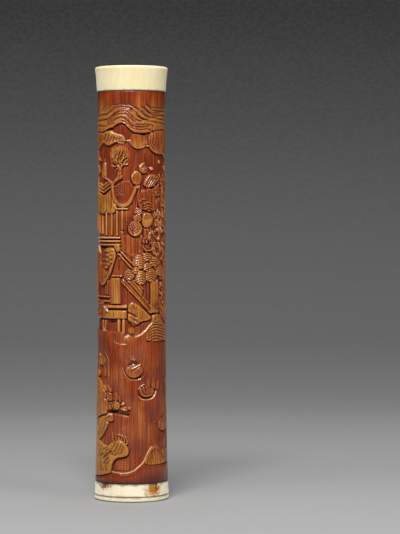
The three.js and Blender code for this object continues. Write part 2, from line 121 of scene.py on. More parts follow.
def linear(red, green, blue):
    # screen colour from 0 to 255, as it looks, to the linear value that a shader takes
    def channel(value):
        value /= 255
        return value / 12.92 if value <= 0.04045 else ((value + 0.055) / 1.055) ** 2.4
    return (channel(red), channel(green), channel(blue), 1.0)


def newGroup(name, inputs, outputs):
    # an input without a value is a vector, all others are floats
    group = bpy.data.node_groups.new(name, "ShaderNodeTree")
    for label, value in inputs.items():
        kind = "NodeSocketVector" if value is None else "NodeSocketFloat"
        socket = group.interface.new_socket(label, in_out="INPUT", socket_type=kind)
        if value is not None:
            socket.default_value = value
    for label in outputs:
        group.interface.new_socket(label, in_out="OUTPUT", socket_type="NodeSocketFloat")
    entry = group.nodes.new("NodeGroupInput")
    leave = group.nodes.new("NodeGroupOutput")
    return group, entry.outputs, leave.inputs


def useGroup(tree, group, inputs):
    return addNode(tree, "ShaderNodeGroup", inputs, node_tree=group).outputs


# Shader groups shared by the finishes

def fibreGroup():
    # long fibres that run up the culm, with fine pores between them
    group, entry, leave = newGroup(
        "culmFibre", {"Position": None, "Across": 1400.0, "Along": 28.0, "Seed": 0.0},
        ("Streak", "Pore", "Mottle"))
    place, seed = entry["Position"], entry["Seed"]
    parts = addNode(group, "ShaderNodeSeparateXYZ", {0: place}).outputs
    squeezed = addNode(group, "ShaderNodeCombineXYZ", {
        "X": times(group, parts["X"], entry["Across"]), "Y": times(group, parts["Y"], entry["Across"]),
        "Z": times(group, parts["Z"], entry["Along"])}).outputs[0]
    pore = noise(group, vectorNode(group, "MULTIPLY", (squeezed, (2.6, 2.6, 3.4))), 1.0, 1.0, seed)
    group.links.new(noise(group, squeezed, 1.0, 3.0, seed, 0.6), leave["Streak"])
    group.links.new(span(group, pore, 0.56, 0.7), leave["Pore"])
    group.links.new(noise(group, place, 90.0, 3.0, seed), leave["Mottle"])
    return group


def boneGroup():
    # faint growth lines and cloudy patches of old bone
    group, entry, leave = newGroup("boneGrowth", {"Position": None, "Lines": 900.0, "Seed": 0.0},
                                   ("Line", "Cloud", "Fleck"))
    place, seed = entry["Position"], entry["Seed"]
    parts = addNode(group, "ShaderNodeSeparateXYZ", {0: place}).outputs
    slanted = mathNode(group, "ADD", parts["X"], times(group, parts["Y"], 0.35))
    bent = mathNode(group, "ADD", times(group, slanted, entry["Lines"]),
                    times(group, noise(group, place, 60.0, seed=seed), 5.0))
    stretched = addNode(group, "ShaderNodeCombineXYZ", {
        "X": bent, "Y": times(group, parts["Y"], 120.0), "Z": times(group, parts["Z"], 60.0)})
    group.links.new(noise(group, stretched.outputs[0], 1.0), leave["Line"])
    group.links.new(noise(group, place, 130.0, 4.0, seed), leave["Cloud"])
    group.links.new(span(group, noise(group, place, 1500.0, 2.0, seed), 0.6, 0.72), leave["Fleck"])
    return group


def grimeGroup():
    # dirt and wear, and painted shade, along a given height, such as the joint between two pieces
    group, entry, leave = newGroup(
        "grimeAndShadeLine", {"Position": None, "Height": 0.0, "Reach": 0.0006, "Seed": 0.0}, ("DirtAndShade",))
    place = entry["Position"]
    height = addNode(group, "ShaderNodeSeparateXYZ", {0: place}).outputs["Z"]
    away = mathNode(group, "ABSOLUTE", mathNode(group, "SUBTRACT", height, entry["Height"]))
    ragged = span(group, noise(group, place, 420.0, 3.0, entry["Seed"]), 0.3, 0.7, 0.4, 1.6)
    share = mathNode(group, "DIVIDE", away, times(group, entry["Reach"], ragged))
    group.links.new(mathNode(group, "SUBTRACT", 1.0, share, clamp=True), leave["DirtAndShade"])
    return group


culmFibre = fibreGroup()
boneGrowth = boneGroup()
grimeAndShadeLine = grimeGroup()


def startMaterial(name, values):
    # uniform values go straight on the shader's sockets
    material = bpy.data.materials.new(name)
    material.use_nodes = True
    tree = material.node_tree
    shader = tree.nodes["Principled BSDF"]
    for label, value in values.items():
        shader.inputs[label].default_value = value
    return material, tree, shader, addNode(tree, "ShaderNodeTexCoord").outputs["Object"]


def rampOf(tree, value, stops):
    node = addNode(tree, "ShaderNodeValToRGB", {"Fac": value})
    ramp = node.color_ramp
    ramp.elements[0].position, ramp.elements[0].color = stops[0]
    ramp.elements[1].position, ramp.elements[1].color = stops[-1]
    for position, colour in stops[1:-1]:
        ramp.elements.new(position).color = colour
    return node.outputs["Color"]


# Bamboo: red brown skin and ground, ochre where the carver cut through the skin, nearly black in the pores
# and in the hollows, where it is dirt and painted shade; the pale pink end of the ramp is a painted highlight
bambooFinish = {
    "tonesAndHighlight": [(0.0, linear(118, 38, 9)), (0.2, linear(140, 58, 18)), (0.4, linear(158, 84, 30)),
              # the last stop, pale pink, is a painted highlight that glinting edges are given
              (0.667, linear(182, 124, 43)), (0.82, linear(188, 130, 56)), (1.0, linear(244, 196, 160))],
    "toneRange": 1.5,  # value of the tone attribute at the end of the ramp
    # cut: pores, and dirt with painted shade in the hollows; wear: worn convex edges, lighter partly as a
    # painted highlight
    "cut": linear(40, 10, 4), "wearAndPaintedLight": linear(214, 132, 74), "streak": linear(98, 30, 6),
    "pale": linear(196, 106, 42),
    "fine": {"Across": 2700.0, "Along": 34.0, "Seed": 1.3},
    "broad": {"Across": 1500.0, "Along": 24.0, "Seed": 4.1},
    "streakShift": 0.1, "mottleShift": 0.16, "bump": {"Strength": 0.55, "Distance": 0.00025},
    "shader": {"Specular IOR Level": 0.35, "Coat Weight": 0.5, "Coat Roughness": 0.1},
}


def bambooMaterial():
    finish = bambooFinish
    material, tree, shader, place = startMaterial("agedBamboo", finish["shader"])
    toneAndPaintedGlint, hollow = (addNode(tree, "ShaderNodeAttribute", attribute_name=name).outputs["Fac"]
                    for name in ("toneAndPaintedGlint", "hollow"))
    fibre = useGroup(tree, culmFibre, {"Position": place, **finish["fine"]})
    broad = useGroup(tree, culmFibre, {"Position": place, **finish["broad"]})
    streak = span(tree, fibre["Streak"], 0.38, 0.62)
    byStreak, byMottle = finish["streakShift"], finish["mottleShift"]
    shifted = mathNode(tree, "ADD", toneAndPaintedGlint, span(tree, broad["Streak"], 0.3, 0.7, -byStreak, byStreak))
    shifted = mathNode(tree, "ADD", shifted, span(tree, broad["Mottle"], 0.36, 0.64, byMottle, -byMottle))
    body = rampOf(tree, mathNode(tree, "DIVIDE", shifted, finish["toneRange"]), finish["tonesAndHighlight"])
    # share of dirt and painted shade in the hollows
    cavityDirtAndShade = span(tree, hollow, 0.12, 0.95)
    inFibre, onForm = span(tree, streak, 0.6, 1.0, 0.0, 0.5), span(tree, toneAndPaintedGlint, 0.1, 0.5, 0.45, 1.0)
    for share, colour in (
            (span(tree, streak, 0.5, 0.0, 0.0, 0.62), "streak"),
            (times(tree, inFibre, onForm), "pale"),
            (span(tree, broad["Streak"], 0.5, 0.4, 0.0, 0.42), "streak"),
            (times(tree, span(tree, broad["Mottle"], 0.42, 0.62), 0.22), "streak"),
            # hollows nearly black with dirt and painted shade
            (times(tree, cavityDirtAndShade, 0.92), "cut"),
            # worn convex edges, lighter partly as a painted highlight
            (times(tree, span(tree, hollow, -0.25, -1.1), 0.5), "wearAndPaintedLight"),
            (times(tree, fibre["Pore"], 0.5), "cut")):
        body = blendColour(tree, share, body, finish[colour])
    tree.links.new(body, shader.inputs["Base Color"])
    gloss = span(tree, fibre["Streak"], 0.3, 0.7, 0.24, 0.38)
    tree.links.new(mathNode(tree, "ADD", gloss, times(tree, cavityDirtAndShade, 0.25)), shader.inputs["Roughness"])
    rough = mathNode(tree, "SUBTRACT", fibre["Streak"], times(tree, fibre["Pore"], 0.25))
    bump = addNode(tree, "ShaderNodeBump", {**finish["bump"], "Height": rough})
    tree.links.new(bump.outputs["Normal"], shader.inputs["Normal"])
    return material


# Bone: cream with faint lines, browner in its pores; stains and grime are placed where the pieces have them,
# and the dark seam lines also carry painted shade and painted contact shadow
boneColours = {
    # seam: near-black dirt with painted shade at the joints, and painted contact shadow at the foot's bottom
    # edge
    "brown": linear(112, 62, 12), "amber": linear(184, 116, 30), "seam": linear(34, 20, 8),
    "joint": linear(140, 96, 30),
}
boneShader = {
    "Diffuse Roughness": 0.8, "Subsurface Weight": 0.6, "Subsurface Radius": (1.0, 0.6, 0.35),
    "Subsurface Scale": 0.003, "Sheen Weight": 0.28, "Coat Weight": 0.2, "Coat Roughness": 0.25,
}


def boneMaterial(name, finish):
    material, tree, shader, place = startMaterial(name, boneShader)
    grow = useGroup(tree, boneGrowth, {"Position": place, "Lines": finish["lines"], "Seed": finish["seed"]})
    body = blendColour(tree, span(tree, grow["Cloud"], 0.35, 0.68), finish["pale"], finish["warm"])
    for mark, share in ((span(tree, grow["Line"], 0.52, 0.7), 0.22), (grow["Fleck"], 0.25)):
        body = blendColour(tree, times(tree, mark, share), body, finish["line"])
    clean = 1.0
    for centre, stretch, radius, strength, colour in finish["stains"]:
        offset = vectorNode(tree, "SUBTRACT", (place, centre))
        away = vectorNode(tree, "LENGTH", (vectorNode(tree, "MULTIPLY", (offset, stretch)),), "Value")
        ragged = span(tree, noise(tree, place, 700.0, 4.0), 0.25, 0.75, -0.42, 0.42)
        edge = mathNode(tree, "ADD", mathNode(tree, "DIVIDE", away, radius), ragged)
        soaked = times(tree, span(tree, edge, 1.0, 0.42), strength)
        body = blendColour(tree, soaked, body, boneColours[colour])
        clean = times(tree, mathNode(tree, "SUBTRACT", 1.0, soaked), clean)
    for height, reach, strength, colour in finish["grimeAndShade"]:
        seamDirtAndShade = useGroup(tree, grimeAndShadeLine, {"Position": place, "Height": height, "Reach": reach,
                                          "Seed": finish["seed"]})
        body = blendColour(tree, times(tree, seamDirtAndShade["DirtAndShade"], strength), body, boneColours[colour])
    tree.links.new(body, shader.inputs["Base Color"])
    tree.links.new(span(tree, grow["Cloud"], 0.3, 0.7, 0.3, 0.42), shader.inputs["Roughness"])
    bump = addNode(tree, "ShaderNodeBump", {"Strength": 0.25, "Distance": 0.00008, "Height": grow["Line"]})
    tree.links.new(bump.outputs["Normal"], shader.inputs["Normal"])
    if finish["stains"]:
        # stained bone glows less and has lost its bloom
        for label in ("Subsurface Weight", "Sheen Weight"):
            tree.links.new(times(tree, clean, boneShader[label]), shader.inputs[label])
    return material


# Brass: dull and brown, with brighter and darker clouds
def brassMaterial():
    material, tree, shader, place = startMaterial("dullBrass", {"Metallic": 1.0})
    cloud = useGroup(tree, boneGrowth, {"Position": place, "Lines": 300.0, "Seed": 7.7})
    body = blendColour(tree, span(tree, cloud["Cloud"], 0.35, 0.65), linear(150, 112, 58), linear(96, 66, 34))
    body = blendColour(tree, times(tree, cloud["Fleck"], 0.5), body, linear(60, 42, 26))
    tree.links.new(body, shader.inputs["Base Color"])
    tree.links.new(span(tree, cloud["Cloud"], 0.3, 0.7, 0.32, 0.55), shader.inputs["Roughness"])
    return material


# Turned pieces: a profile is turned about the axis by one node tree; arris is the rounding of a corner
turning = {
    "facets": 160, "cornerSteps": 5, "hub": 0.001, "merge": 0.000002, "double": 0.000001,
    "smoothAngle": math.radians(38),
}


def turningTree():
    tree = bpy.data.node_groups.new("turnedPiece", "GeometryNodeTree")
    for label, kind, value in (
            ("Geometry", "Geometry", None), ("Facets", "Int", 128), ("Corner steps", "Int", 5),
            ("Hub radius", "Float", 0.001), ("Finish", "Material", None)):
        socket = tree.interface.new_socket(label, in_out="INPUT", socket_type="NodeSocket" + kind)
        if value is not None:
            socket.default_value = value
    tree.interface.new_socket("Geometry", in_out="OUTPUT", socket_type="NodeSocketGeometry")
    entry = tree.nodes.new("NodeGroupInput").outputs
    leave = tree.nodes.new("NodeGroupOutput").inputs
    profile = addNode(tree, "GeometryNodeMeshToCurve", {"Mesh": entry["Geometry"]})
    arris = addNode(tree, "GeometryNodeInputNamedAttribute", {"Name": "arris"}, data_type="FLOAT")
    rounded = addNode(tree, "GeometryNodeFilletCurve",
                      {"Curve": profile.outputs[0], "Count": entry["Corner steps"],
                       "Radius": arris.outputs["Attribute"], "Limit Radius": True}, mode="POLY")
    path = addNode(tree, "GeometryNodeCurvePrimitiveCircle",
                   {"Resolution": entry["Facets"], "Radius": entry["Hub radius"]}, mode="RADIUS")
    upright = addNode(tree, "GeometryNodeSetCurveNormal", {"Curve": path.outputs["Curve"]}, mode="Z_UP")
    swept = addNode(tree, "GeometryNodeCurveToMesh",
                    {"Curve": upright.outputs[0], "Profile Curve": rounded.outputs[0]})
    closed = addNode(tree, "GeometryNodeMergeByDistance",
                     {"Geometry": swept.outputs[0], "Distance": turning["merge"]})
    realized = addNode(tree, "GeometryNodeRealizeInstances", {"Geometry": closed.outputs[0]})
    finished = addNode(tree, "GeometryNodeSetMaterial",
                       {"Geometry": realized.outputs[0], "Material": entry["Finish"]})
    tree.links.new(finished.outputs[0], leave["Geometry"])
    return tree


turnedPiece = turningTree()
socketNamed = {item.name: item.identifier for item in turnedPiece.interface.items_tree
               if item.in_out == "INPUT"}


def turnPiece(name, profile, material, closedLoop=False, facets=None):
    # profile rows are radius, height and corner rounding, all in millimetres
    mesh = bpy.data.meshes.new(name)
    points = [(radius * mm - turning["hub"], -height * mm, 0) for radius, height, _ in profile]
    edges = [(i, i + 1) for i in range(len(points) - 1)]
    if closedLoop:
        edges.append((len(points) - 1, 0))
    mesh.from_pydata(points, edges, [])
    arris = mesh.attributes.new("arris", "FLOAT", "POINT")
    arris.data.foreach_set("value", [corner * mm for _, _, corner in profile])
    raw = bpy.data.objects.new(name + "Profile", mesh)
    bpy.context.collection.objects.link(raw)
    modifier = raw.modifiers.new("turning", "NODES")
    modifier.node_group = turnedPiece
    for label, value in (
            ("Facets", facets or turning["facets"]), ("Corner steps", turning["cornerSteps"]),
            ("Hub radius", turning["hub"]), ("Finish", material)):
        modifier[socketNamed[label]] = value
    made = bpy.data.meshes.new_from_object(raw.evaluated_get(bpy.context.evaluated_depsgraph_get()))
    bpy.data.objects.remove(raw)
    return plainObject(name, made)


def plainObject(name, mesh):
    # merges doubles, turns the faces outwards and sets the smooth shading
    work = bmesh.new()
    work.from_mesh(mesh)
    bmesh.ops.remove_doubles(work, verts=work.verts, dist=turning["double"])
    bmesh.ops.recalc_face_normals(work, faces=work.faces)
    if work.calc_volume(signed=True) < 0:
        bmesh.ops.reverse_faces(work, faces=work.faces)
    work.to_mesh(mesh)
    work.free()
    mesh.name = name
    mesh.shade_smooth()
    mesh.set_sharp_from_angle(angle=turning["smoothAngle"])
    piece = bpy.data.objects.new(name, mesh)
    bpy.context.collection.objects.link(piece)
    return piece


def nodeSpan(node):
    low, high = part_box(node)
    return low.z / mm, high.z / mm, high.x / mm


tubeBase, tubeTop, _ = nodeSpan("bamboo_tube")
_, plateStep, plateRadius = nodeSpan("foot_plate")
_, ringSpigotTop, _ = nodeSpan("foot_ring")
socketBase, socketTop, socketFlange = nodeSpan("stick_socket")
lidSpigotBase, lidTop, lidRadius = nodeSpan("lid")

# Sizes that the frame's boxes don't give, as in the part
fit = {
    "bore": 12.3, "slip": 0.3, "crestTop": 16.6, "taper": 0.55, "rootFlare": 0.8, "rootPower": 6,
    "plate": 2.5, "register": 8.7, "ringBore": 9.0, "ringTop": 17.95, "lidBottom": 16.9,
    "lidRecess": 8.0, "lidOverRecess": 4.6, "tenon": 2.4, "neck": 2.7, "stickHole": 1.4, "stickDepth": 8.0,
}
spigot = fit["bore"] - fit["slip"]

# A stain has a centre, a stretch, a radius, a strength and a colour; grime, partly painted shade, has a
# height, a reach, a strength and a colour. All are in metres.
lidFinish = {
    "pale": linear(233, 222, 187), "warm": linear(229, 214, 168), "line": linear(206, 190, 142),
    # dark line at the joint with the tube: dirt, and painted shade under the lid's overhang
    "lines": 900.0, "seed": 2.0, "stains": [], "grimeAndShade": [(tubeTop * mm, 0.0007, 0.8, "seam")],
}
footFinish = {
    "pale": linear(243, 232, 208), "warm": linear(236, 220, 186), "line": linear(206, 182, 132),
    "lines": 800.0, "seed": 5.0,
    "stains": [((-0.0137, -0.0121, 0.0079), (0.7, 0.7, 1.2), 0.0033, 0.95, "brown"),
               ((0.0108, -0.0146, 0.0062), (0.7, 0.7, 0.9), 0.0042, 1.0, "amber"),
               ((0.0121, -0.0137, 0.0069), (1.3, 1.3, 1.0), 0.0019, 0.9, "brown"),
               ((0.006, 0.0172, 0.0072), (0.7, 0.7, 1.4), 0.003, 0.6, "amber")],
    # dark line at the tube's joint: dirt and painted shade; the brown line at the plate is glue and dirt; the
    # line at the bottom edge is partly dirt, partly painted contact shadow
    "grimeAndShade": [(tubeBase * mm, 0.0012, 1.0, "seam"), (fit["plate"] * mm, 0.0008, 0.9, "joint"),
              (0.0, 0.0003, 0.6, "seam")],
}
lidBone = boneMaterial("creamBone", lidFinish)
footBone = boneMaterial("stainedBone", footFinish)
dullBrass = brassMaterial()


def turnedFittings():
    seam = fit["plate"]
    plate = turnPiece("turnedPlate", [
        (0, 0, 0), (plateRadius - 1.3, 0, 0), (plateRadius - 0.8, 0.25, 0.1), (plateRadius - 0.1, 0.5, 0.3),
        (plateRadius, 0.9, 0.3),
        (plateRadius, seam - 0.35, 0.15), (plateRadius - 0.45, seam, 0),
        (fit["register"], seam, 0), (fit["register"], plateStep, 0.2),
        (fit["tenon"] + fit["slip"], plateStep, 0.15), (fit["tenon"] + fit["slip"], plateStep - 2.2, 0),
        (0, plateStep - 2.2, 0)], footBone)
    ring = turnPiece("turnedRing", [
        (fit["ringBore"], seam, 0), (plateRadius - 0.45, seam, 0), (plateRadius, seam + 0.35, 0.15),
        (plateRadius - 0.28, seam + 3.1, 3.0), (fit["ringTop"], tubeBase - 0.35, 0.15),
        (fit["ringTop"] - 0.35, tubeBase, 0.05), (spigot, tubeBase, 0),
        (spigot, ringSpigotTop - 0.3, 0.1), (spigot - 0.3, ringSpigotTop, 0.1),
        (fit["ringBore"], ringSpigotTop, 0.3)], footBone, closedLoop=True)
    flangeTop = plateStep + 1.4
    neck = fit["neck"]
    socket = turnPiece("stickCup", [
        (0, socketBase, 0), (fit["tenon"], socketBase, 0.1), (fit["tenon"], plateStep, 0),
        (socketFlange, plateStep, 0.15), (socketFlange, flangeTop - 0.5, 0.3),
        (socketFlange - 0.8, flangeTop, 0.3), (neck + 1, plateStep + 3, 2.0), (neck, plateStep + 6, 2.0),
        (neck + 0.3, socketTop - 0.5, 0.25), (neck, socketTop, 0.15), (fit["stickHole"], socketTop, 0.25),
        (fit["stickHole"], socketTop - fit["stickDepth"], 0.1), (0, socketTop - fit["stickDepth"], 0)],
        dullBrass, facets=64)
    bottom = fit["lidBottom"]
    flare, height = lidRadius - bottom, lidTop - tubeTop
    ceiling = lidTop - fit["lidOverRecess"]
    lid = turnPiece("turnedLid", [
        (0, ceiling, 0), (fit["lidRecess"] - 1, ceiling, 0.3), (fit["lidRecess"], ceiling - 1, 0.5),
        (fit["lidRecess"], lidSpigotBase, 0.3), (spigot - 0.3, lidSpigotBase, 0.1),
        (spigot, lidSpigotBase + 0.3, 0.1), (spigot, tubeTop, 0.1), (bottom - 0.25, tubeTop, 0.05),
        (bottom, tubeTop + 0.3, 0.2), (bottom + flare * 0.3, tubeTop + height * 0.45, 8.0),
        (bottom + flare * 0.75, lidTop - 2.6, 4.0), (lidRadius, lidTop - 1.0, 0.5),
        (lidRadius - 0.25, lidTop - 0.3, 0.4), (lidRadius - 1.0, lidTop, 0.5),
        (lidRadius - 2.4, lidTop - 0.25, 0.8), (0, lidTop - 0.25, 0)], lidBone)
    for piece, node, body, slotName in (
            (plate, "foot_plate", "holder", "foot_bone"), (ring, "foot_ring", "holder", "foot_bone"),
            (socket, "stick_socket", "holder", "socket_brass"), (lid, "lid", "lid", "lid_bone")):
        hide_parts(node)
        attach(piece, body)
    print("turned fittings made")


turnedFittings()


# The carved tube. The drawing lies on the unrolled face: across is millimetres round it, up is
# millimetres above the table. It is pressed into a field of depths below the crest, then wrapped.
carving = {
    "faceRadius": 17.0, "cell": 0.25, "triangles": 192000,
    "ground": -1.0, "pond": -0.6, "deepest": -1.75, "pondTop": 76, "pondFade": 8,
    "groundTone": 0.12, "pondTone": 0.12, "softShare": 0.35, "endDepth": 0.35, "endReach": 0.45,
    # a form's border: how wide it is, how far it is eased over and how deep the gutter beside it is
    "edge": 0.13, "rim": 0.22, "rimReach": 0.3, "gutter": 0.45, "gutterReach": 0.34, "gutterStart": 0.2,
    # what of it holds where the border faces up, and what a border that faces down takes off or adds
    "reachUp": 1.9, "reachDown": 1.1, "rimUp": 1.7, "rimDown": 1.0, "gutterUp": 0.12, "gutterDown": 1.2,
    "gutterPower": 1.8,
    # how far past a form, a line and a slit the field is worked
    "skirt": 1.2, "cutSkirt": 1.0, "slitSkirt": 1.5,
    # lines cut into a form, and the tips, lip and border of a smoke slit
    "lineWidth": 1.08, "lineDepth": 1.5, "lineDark": 0.45, "slitTip": 0.25, "slitLip": 0.35, "slitSunk": -1.2,
    "slitSlope": 0.3, "slitBorder": 1.0,
    "limb": 0.94, "flankSpread": 2.2, "far": 9.0, "smoothAngle": math.radians(48),
}
faceRadius = carving["faceRadius"]
faceLength = fullTurn * faceRadius
columns = int(round(faceLength / carving["cell"]))
rows = int(round((tubeTop - tubeBase) / carving["cell"]))
stepAcross = faceLength / columns
stepUp = (tubeTop - tubeBase) / rows
upOfRows = (tubeBase + np.arange(rows + 1) * stepUp)[:, None]
relief = np.zeros((rows + 1, columns))
# colour of the face; values above about 1.25 give the pale painted highlight of glints
toneAndPaintedGlint = np.zeros_like(relief)
opening = np.full_like(relief, carving["far"])  # distance to the nearest smoke slit, negative inside
drawing = {"turn": 0.0, "side": 1}


def drawAt(degrees, side, *motifs):
    # draws the motifs with their axis at that turn of the tube; a side of -1 mirrors them
    drawing["turn"], drawing["side"] = math.radians(degrees), side
    for motif in motifs:
        motif()
    drawing["turn"], drawing["side"] = 0.0, 1


def patch(low, high):
    across = np.arange(math.floor(low[0] / stepAcross), math.ceil(high[0] / stepAcross) + 1)
    bottom = max(0, math.floor((low[1] - tubeBase) / stepUp))
    top = min(rows, math.ceil((high[1] - tubeBase) / stepUp))
    up = np.arange(bottom, max(top, bottom) + 1)
    gridAcross, gridUp = np.meshgrid(across * stepAcross, tubeBase + up * stepUp)
    return np.ix_(up, across % columns), gridAcross, gridUp


def curveThrough(points, closed=False, steps=5):
    points = np.asarray(points, float)
    if len(points) < 3:
        return points
    count = len(points)
    made = []
    for i in range(count if closed else count - 1):
        near = [i - 1, i, i + 1, i + 2]
        a, b, c, d = (points[k % count if closed else min(max(k, 0), count - 1)] for k in near)
        for t in np.arange(steps) / steps:
            made.append(0.5 * (2 * b + (c - a) * t + (2 * a - 5 * b + 4 * c - d) * t * t
                               + (3 * b - a - 3 * c + d) * t ** 3))
    if not closed:
        made.append(points[-1])
    return np.array(made)


def fromSegment(across, up, start, end):
    # share of the way along a straight piece, and distance from it
    (ax, az), (bx, bz) = start, end
    ex, ez = bx - ax, bz - az
    share = np.clip(((across - ax) * ex + (up - az) * ez) / max(ex * ex + ez * ez, 1e-9), 0, 1)
    return share, np.hypot(across - ax - share * ex, up - az - share * ez)


def outlineDistance(across, up, points):
    best = np.full(across.shape, np.inf)
    inside = np.zeros(across.shape, bool)
    for start, end in zip(points, np.roll(points, -1, axis=0)):
        best = np.minimum(best, fromSegment(across, up, start, end)[1])
        (ax, az), (bx, bz) = start, end
        if bz != az:
            inside ^= ((az > up) != (bz > up)) & (across < ax + (up - az) * (bx - ax) / (bz - az))
    return np.where(inside, -best, best)


def pathDistance(across, up, points, startWidth, endWidth):
    best = np.full(across.shape, np.inf)
    segments = len(points) - 1
    for i in range(segments):
        share, away = fromSegment(across, up, points[i], points[i + 1])
        half = (startWidth + (endWidth - startWidth) * (i + share) / segments) / 2
        best = np.minimum(best, away - half)
    return best


def onFace(points):
    # from the view straight on, x to the right and z up, to the unrolled face; x of 18.7 is the flank
    points = np.asarray(points, float)
    share = points[:, 0] / faceRadius
    bounded = np.clip(share, -carving["limb"], carving["limb"])
    angle = np.arcsin(bounded) + carving["flankSpread"] * (share - bounded)
    return np.column_stack([(angle * drawing["side"] + drawing["turn"]) * faceRadius, points[:, 1]])


def placed(points, x, z, tilt=0.0, size=1.0):
    c, s = math.cos(math.radians(tilt)), math.sin(math.radians(tilt))
    return [(x + size * (px * c - pz * s), z + size * (px * s + pz * c)) for px, pz in points]


def press(distance, where, level, colour, rim=carving["rim"], gutter=carving["gutter"], edge=carving["edge"]):
    # lays a form over what is there: eased over where its border faces up, undercut where it faces down
    downward = np.clip(0.5 - 0.5 * np.gradient(distance, stepUp, axis=0), 0, 1)
    inside = np.clip(0.5 - distance / (2 * edge), 0, 1)
    reach = carving["rimReach"] * (carving["reachUp"] - carving["reachDown"] * downward)
    eased = rim * (carving["rimUp"] - carving["rimDown"] * downward)
    body = level - eased * np.exp(np.minimum(distance, 0) / reach)
    below = relief[where]
    outside = np.maximum(distance, 0) - carving["gutterStart"]
    depth = gutter * (carving["gutterUp"] + carving["gutterDown"] * downward ** carving["gutterPower"])
    channel = below - depth * np.exp(-(outside / carving["gutterReach"]) ** 2)
    channel = np.minimum(below, np.maximum(channel, carving["deepest"]))
    relief[where] = channel * (1 - inside) + body * inside
    toneAndPaintedGlint[where] = toneAndPaintedGlint[where] * (1 - inside) + colour * inside
    return inside


def form(points, level=0.0, colour=0.7, smooth=True, **border):
    # a level or a colour that is a pair goes from the form's top to its foot
    outline = onFace(curveThrough(points, closed=True) if smooth else points)
    low, high = outline.min(0), outline.max(0)
    where, across, up = patch(low - carving["skirt"], high + carving["skirt"])
    share = np.clip((high[1] - up) / (high[1] - low[1]), 0, 1)
    level, colour = (value[0] + (value[1] - value[0]) * share if isinstance(value, tuple) else value
                     for value in (level, colour))
    press(outlineDistance(across, up, outline), where, level, colour, **border)


def ridge(points, width, endWidth=None, level=0.0, colour=0.7, smooth=True, **border):
    line = onFace(curveThrough(points) if smooth else points)
    skirt = width + carving["skirt"]
    where, across, up = patch(line.min(0) - skirt, line.max(0) + skirt)
    distance = pathDistance(across, up, line, width, width if endWidth is None else endWidth)
    press(distance, where, level, colour, **border)


def cut(points, width=0.3, depth=0.35, darken=0.0):
    line = onFace(curveThrough(points))
    where, across, up = patch(line.min(0) - carving["cutSkirt"], line.max(0) + carving["cutSkirt"])
    mask = np.exp(-(pathDistance(across, up, line, 0.0, 0.0) / width) ** 2)
    relief[where] = np.maximum(relief[where] - depth * mask, carving["deepest"])
    toneAndPaintedGlint[where] *= 1 - darken * mask


def patches(spots):
    # soft patches where the stain has worn off or gathered: place, size and change of tone
    for x, z, width, height, change in spots:
        centre = onFace([(x, z)])[0]
        reach = (width * 1.6, height * 1.6)
        where, across, up = patch(centre - reach, centre + reach)
        away = ((across - centre[0]) / width) ** 2 + ((up - centre[1]) / height) ** 2
        toneAndPaintedGlint[where] += change * np.exp(-2 * away)


def slit(points, width):
    # a narrow opening right through the wall, widest in its middle
    line = onFace(curveThrough(points))
    where, across, up = patch(line.min(0) - carving["slitSkirt"], line.max(0) + carving["slitSkirt"])
    half = len(line) // 2
    distance = np.minimum(pathDistance(across, up, line[:half + 1], carving["slitTip"], width),
                          pathDistance(across, up, line[half:], width, carving["slitTip"]))
    opening[where] = np.minimum(opening[where], distance)
    sunk = np.where(distance < carving["slitLip"], carving["slitSunk"], 0.0) * np.clip(1 - distance, 0, 1)
    relief[where] = np.minimum(relief[where], sunk)


# Drawn motifs, in millimetres of the view straight on: x from the axis, z above the table

def cutLines(lines, width=0.3, depth=0.42):
    for line in lines:
        cut(line, width * carving["lineWidth"], depth * carving["lineDepth"], carving["lineDark"])


def ridges(lines, width, endWidth=None, level=-0.1, colour=0.7, smooth=True, **border):
    for line in lines:
        ridge(line, width, endWidth, level, colour, smooth, **border)


def fibres(x, z, count, depth=0.2, width=0.22, seed=1):
    # upright cuts of uneven length over a panel from x[0] to x[1] and z[0] to z[1]
    draw = np.random.default_rng(seed)
    for i in range(count):
        place = x[0] + (x[1] - x[0]) * (i + 0.5 + draw.uniform(-0.3, 0.3)) / count
        low = z[0] + (z[1] - z[0]) * draw.uniform(0.0, 0.35)
        high = z[1] - (z[1] - z[0]) * draw.uniform(0.0, 0.35)
        lean = draw.uniform(-0.15, 0.15)
        line = [(place, low), (place + lean, (low + high) / 2), (place, high)]
        cut(line, width, depth * draw.uniform(0.7, 1.6), darken=0.3)


def oval(x, z, width, height, tilt=0, level=0.0, colour=0.7, **border):
    points = [(math.cos(a) * width / 2, math.sin(a) * height / 2) for a in np.arange(8) * fullTurn / 8]
    form(placed(points, x, z, tilt), level, colour, **border)


def hatch(x, z, width, height, count, tilt=0, depth=0.36):
    for i in range(count):
        offset = (i - (count - 1) / 2) * height / count
        cut(placed([(-width / 2, offset), (width / 2, offset)], x, z, tilt), 0.27, depth * 1.6, darken=0.5)


def bead(x, z, size, level=0.0, colour=0.85):
    # small round berry with a nick in it
    oval(x, z, size, size, level=level, colour=colour, gutter=0.35, rim=0.45)
    cut([(x - size * 0.12, z - size * 0.1), (x + size * 0.2, z + size * 0.14)], 0.24)


def coneFan(x, z, width, height, lines, tilt=0, level=-0.05, colour=1.05):
    # a tuft of pine drawn as a dome of stacked arcs
    points = [(-width * 0.5, -height * 0.3), (-width * 0.46, height * 0.12), (-width * 0.24, height * 0.44),
              (width * 0.1, height * 0.5), (width * 0.4, height * 0.26), (width * 0.5, -height * 0.12),
              (width * 0.2, -height * 0.5), (-width * 0.25, -height * 0.5)]
    form(placed(points, x, z, tilt), level, colour, rim=0.3, gutter=0.35)
    for i in range(lines):
        share = (i + 0.7) / lines
        rise = height * (share - 0.5)
        reach = width * (0.5 - 0.36 * abs(share - 0.45))
        arc = [(-reach, rise - height * 0.1), (0, rise + height * 0.07), (reach, rise - height * 0.08)]
        cut(placed(arc, x, z, tilt), 0.25, 0.6, darken=0.5)


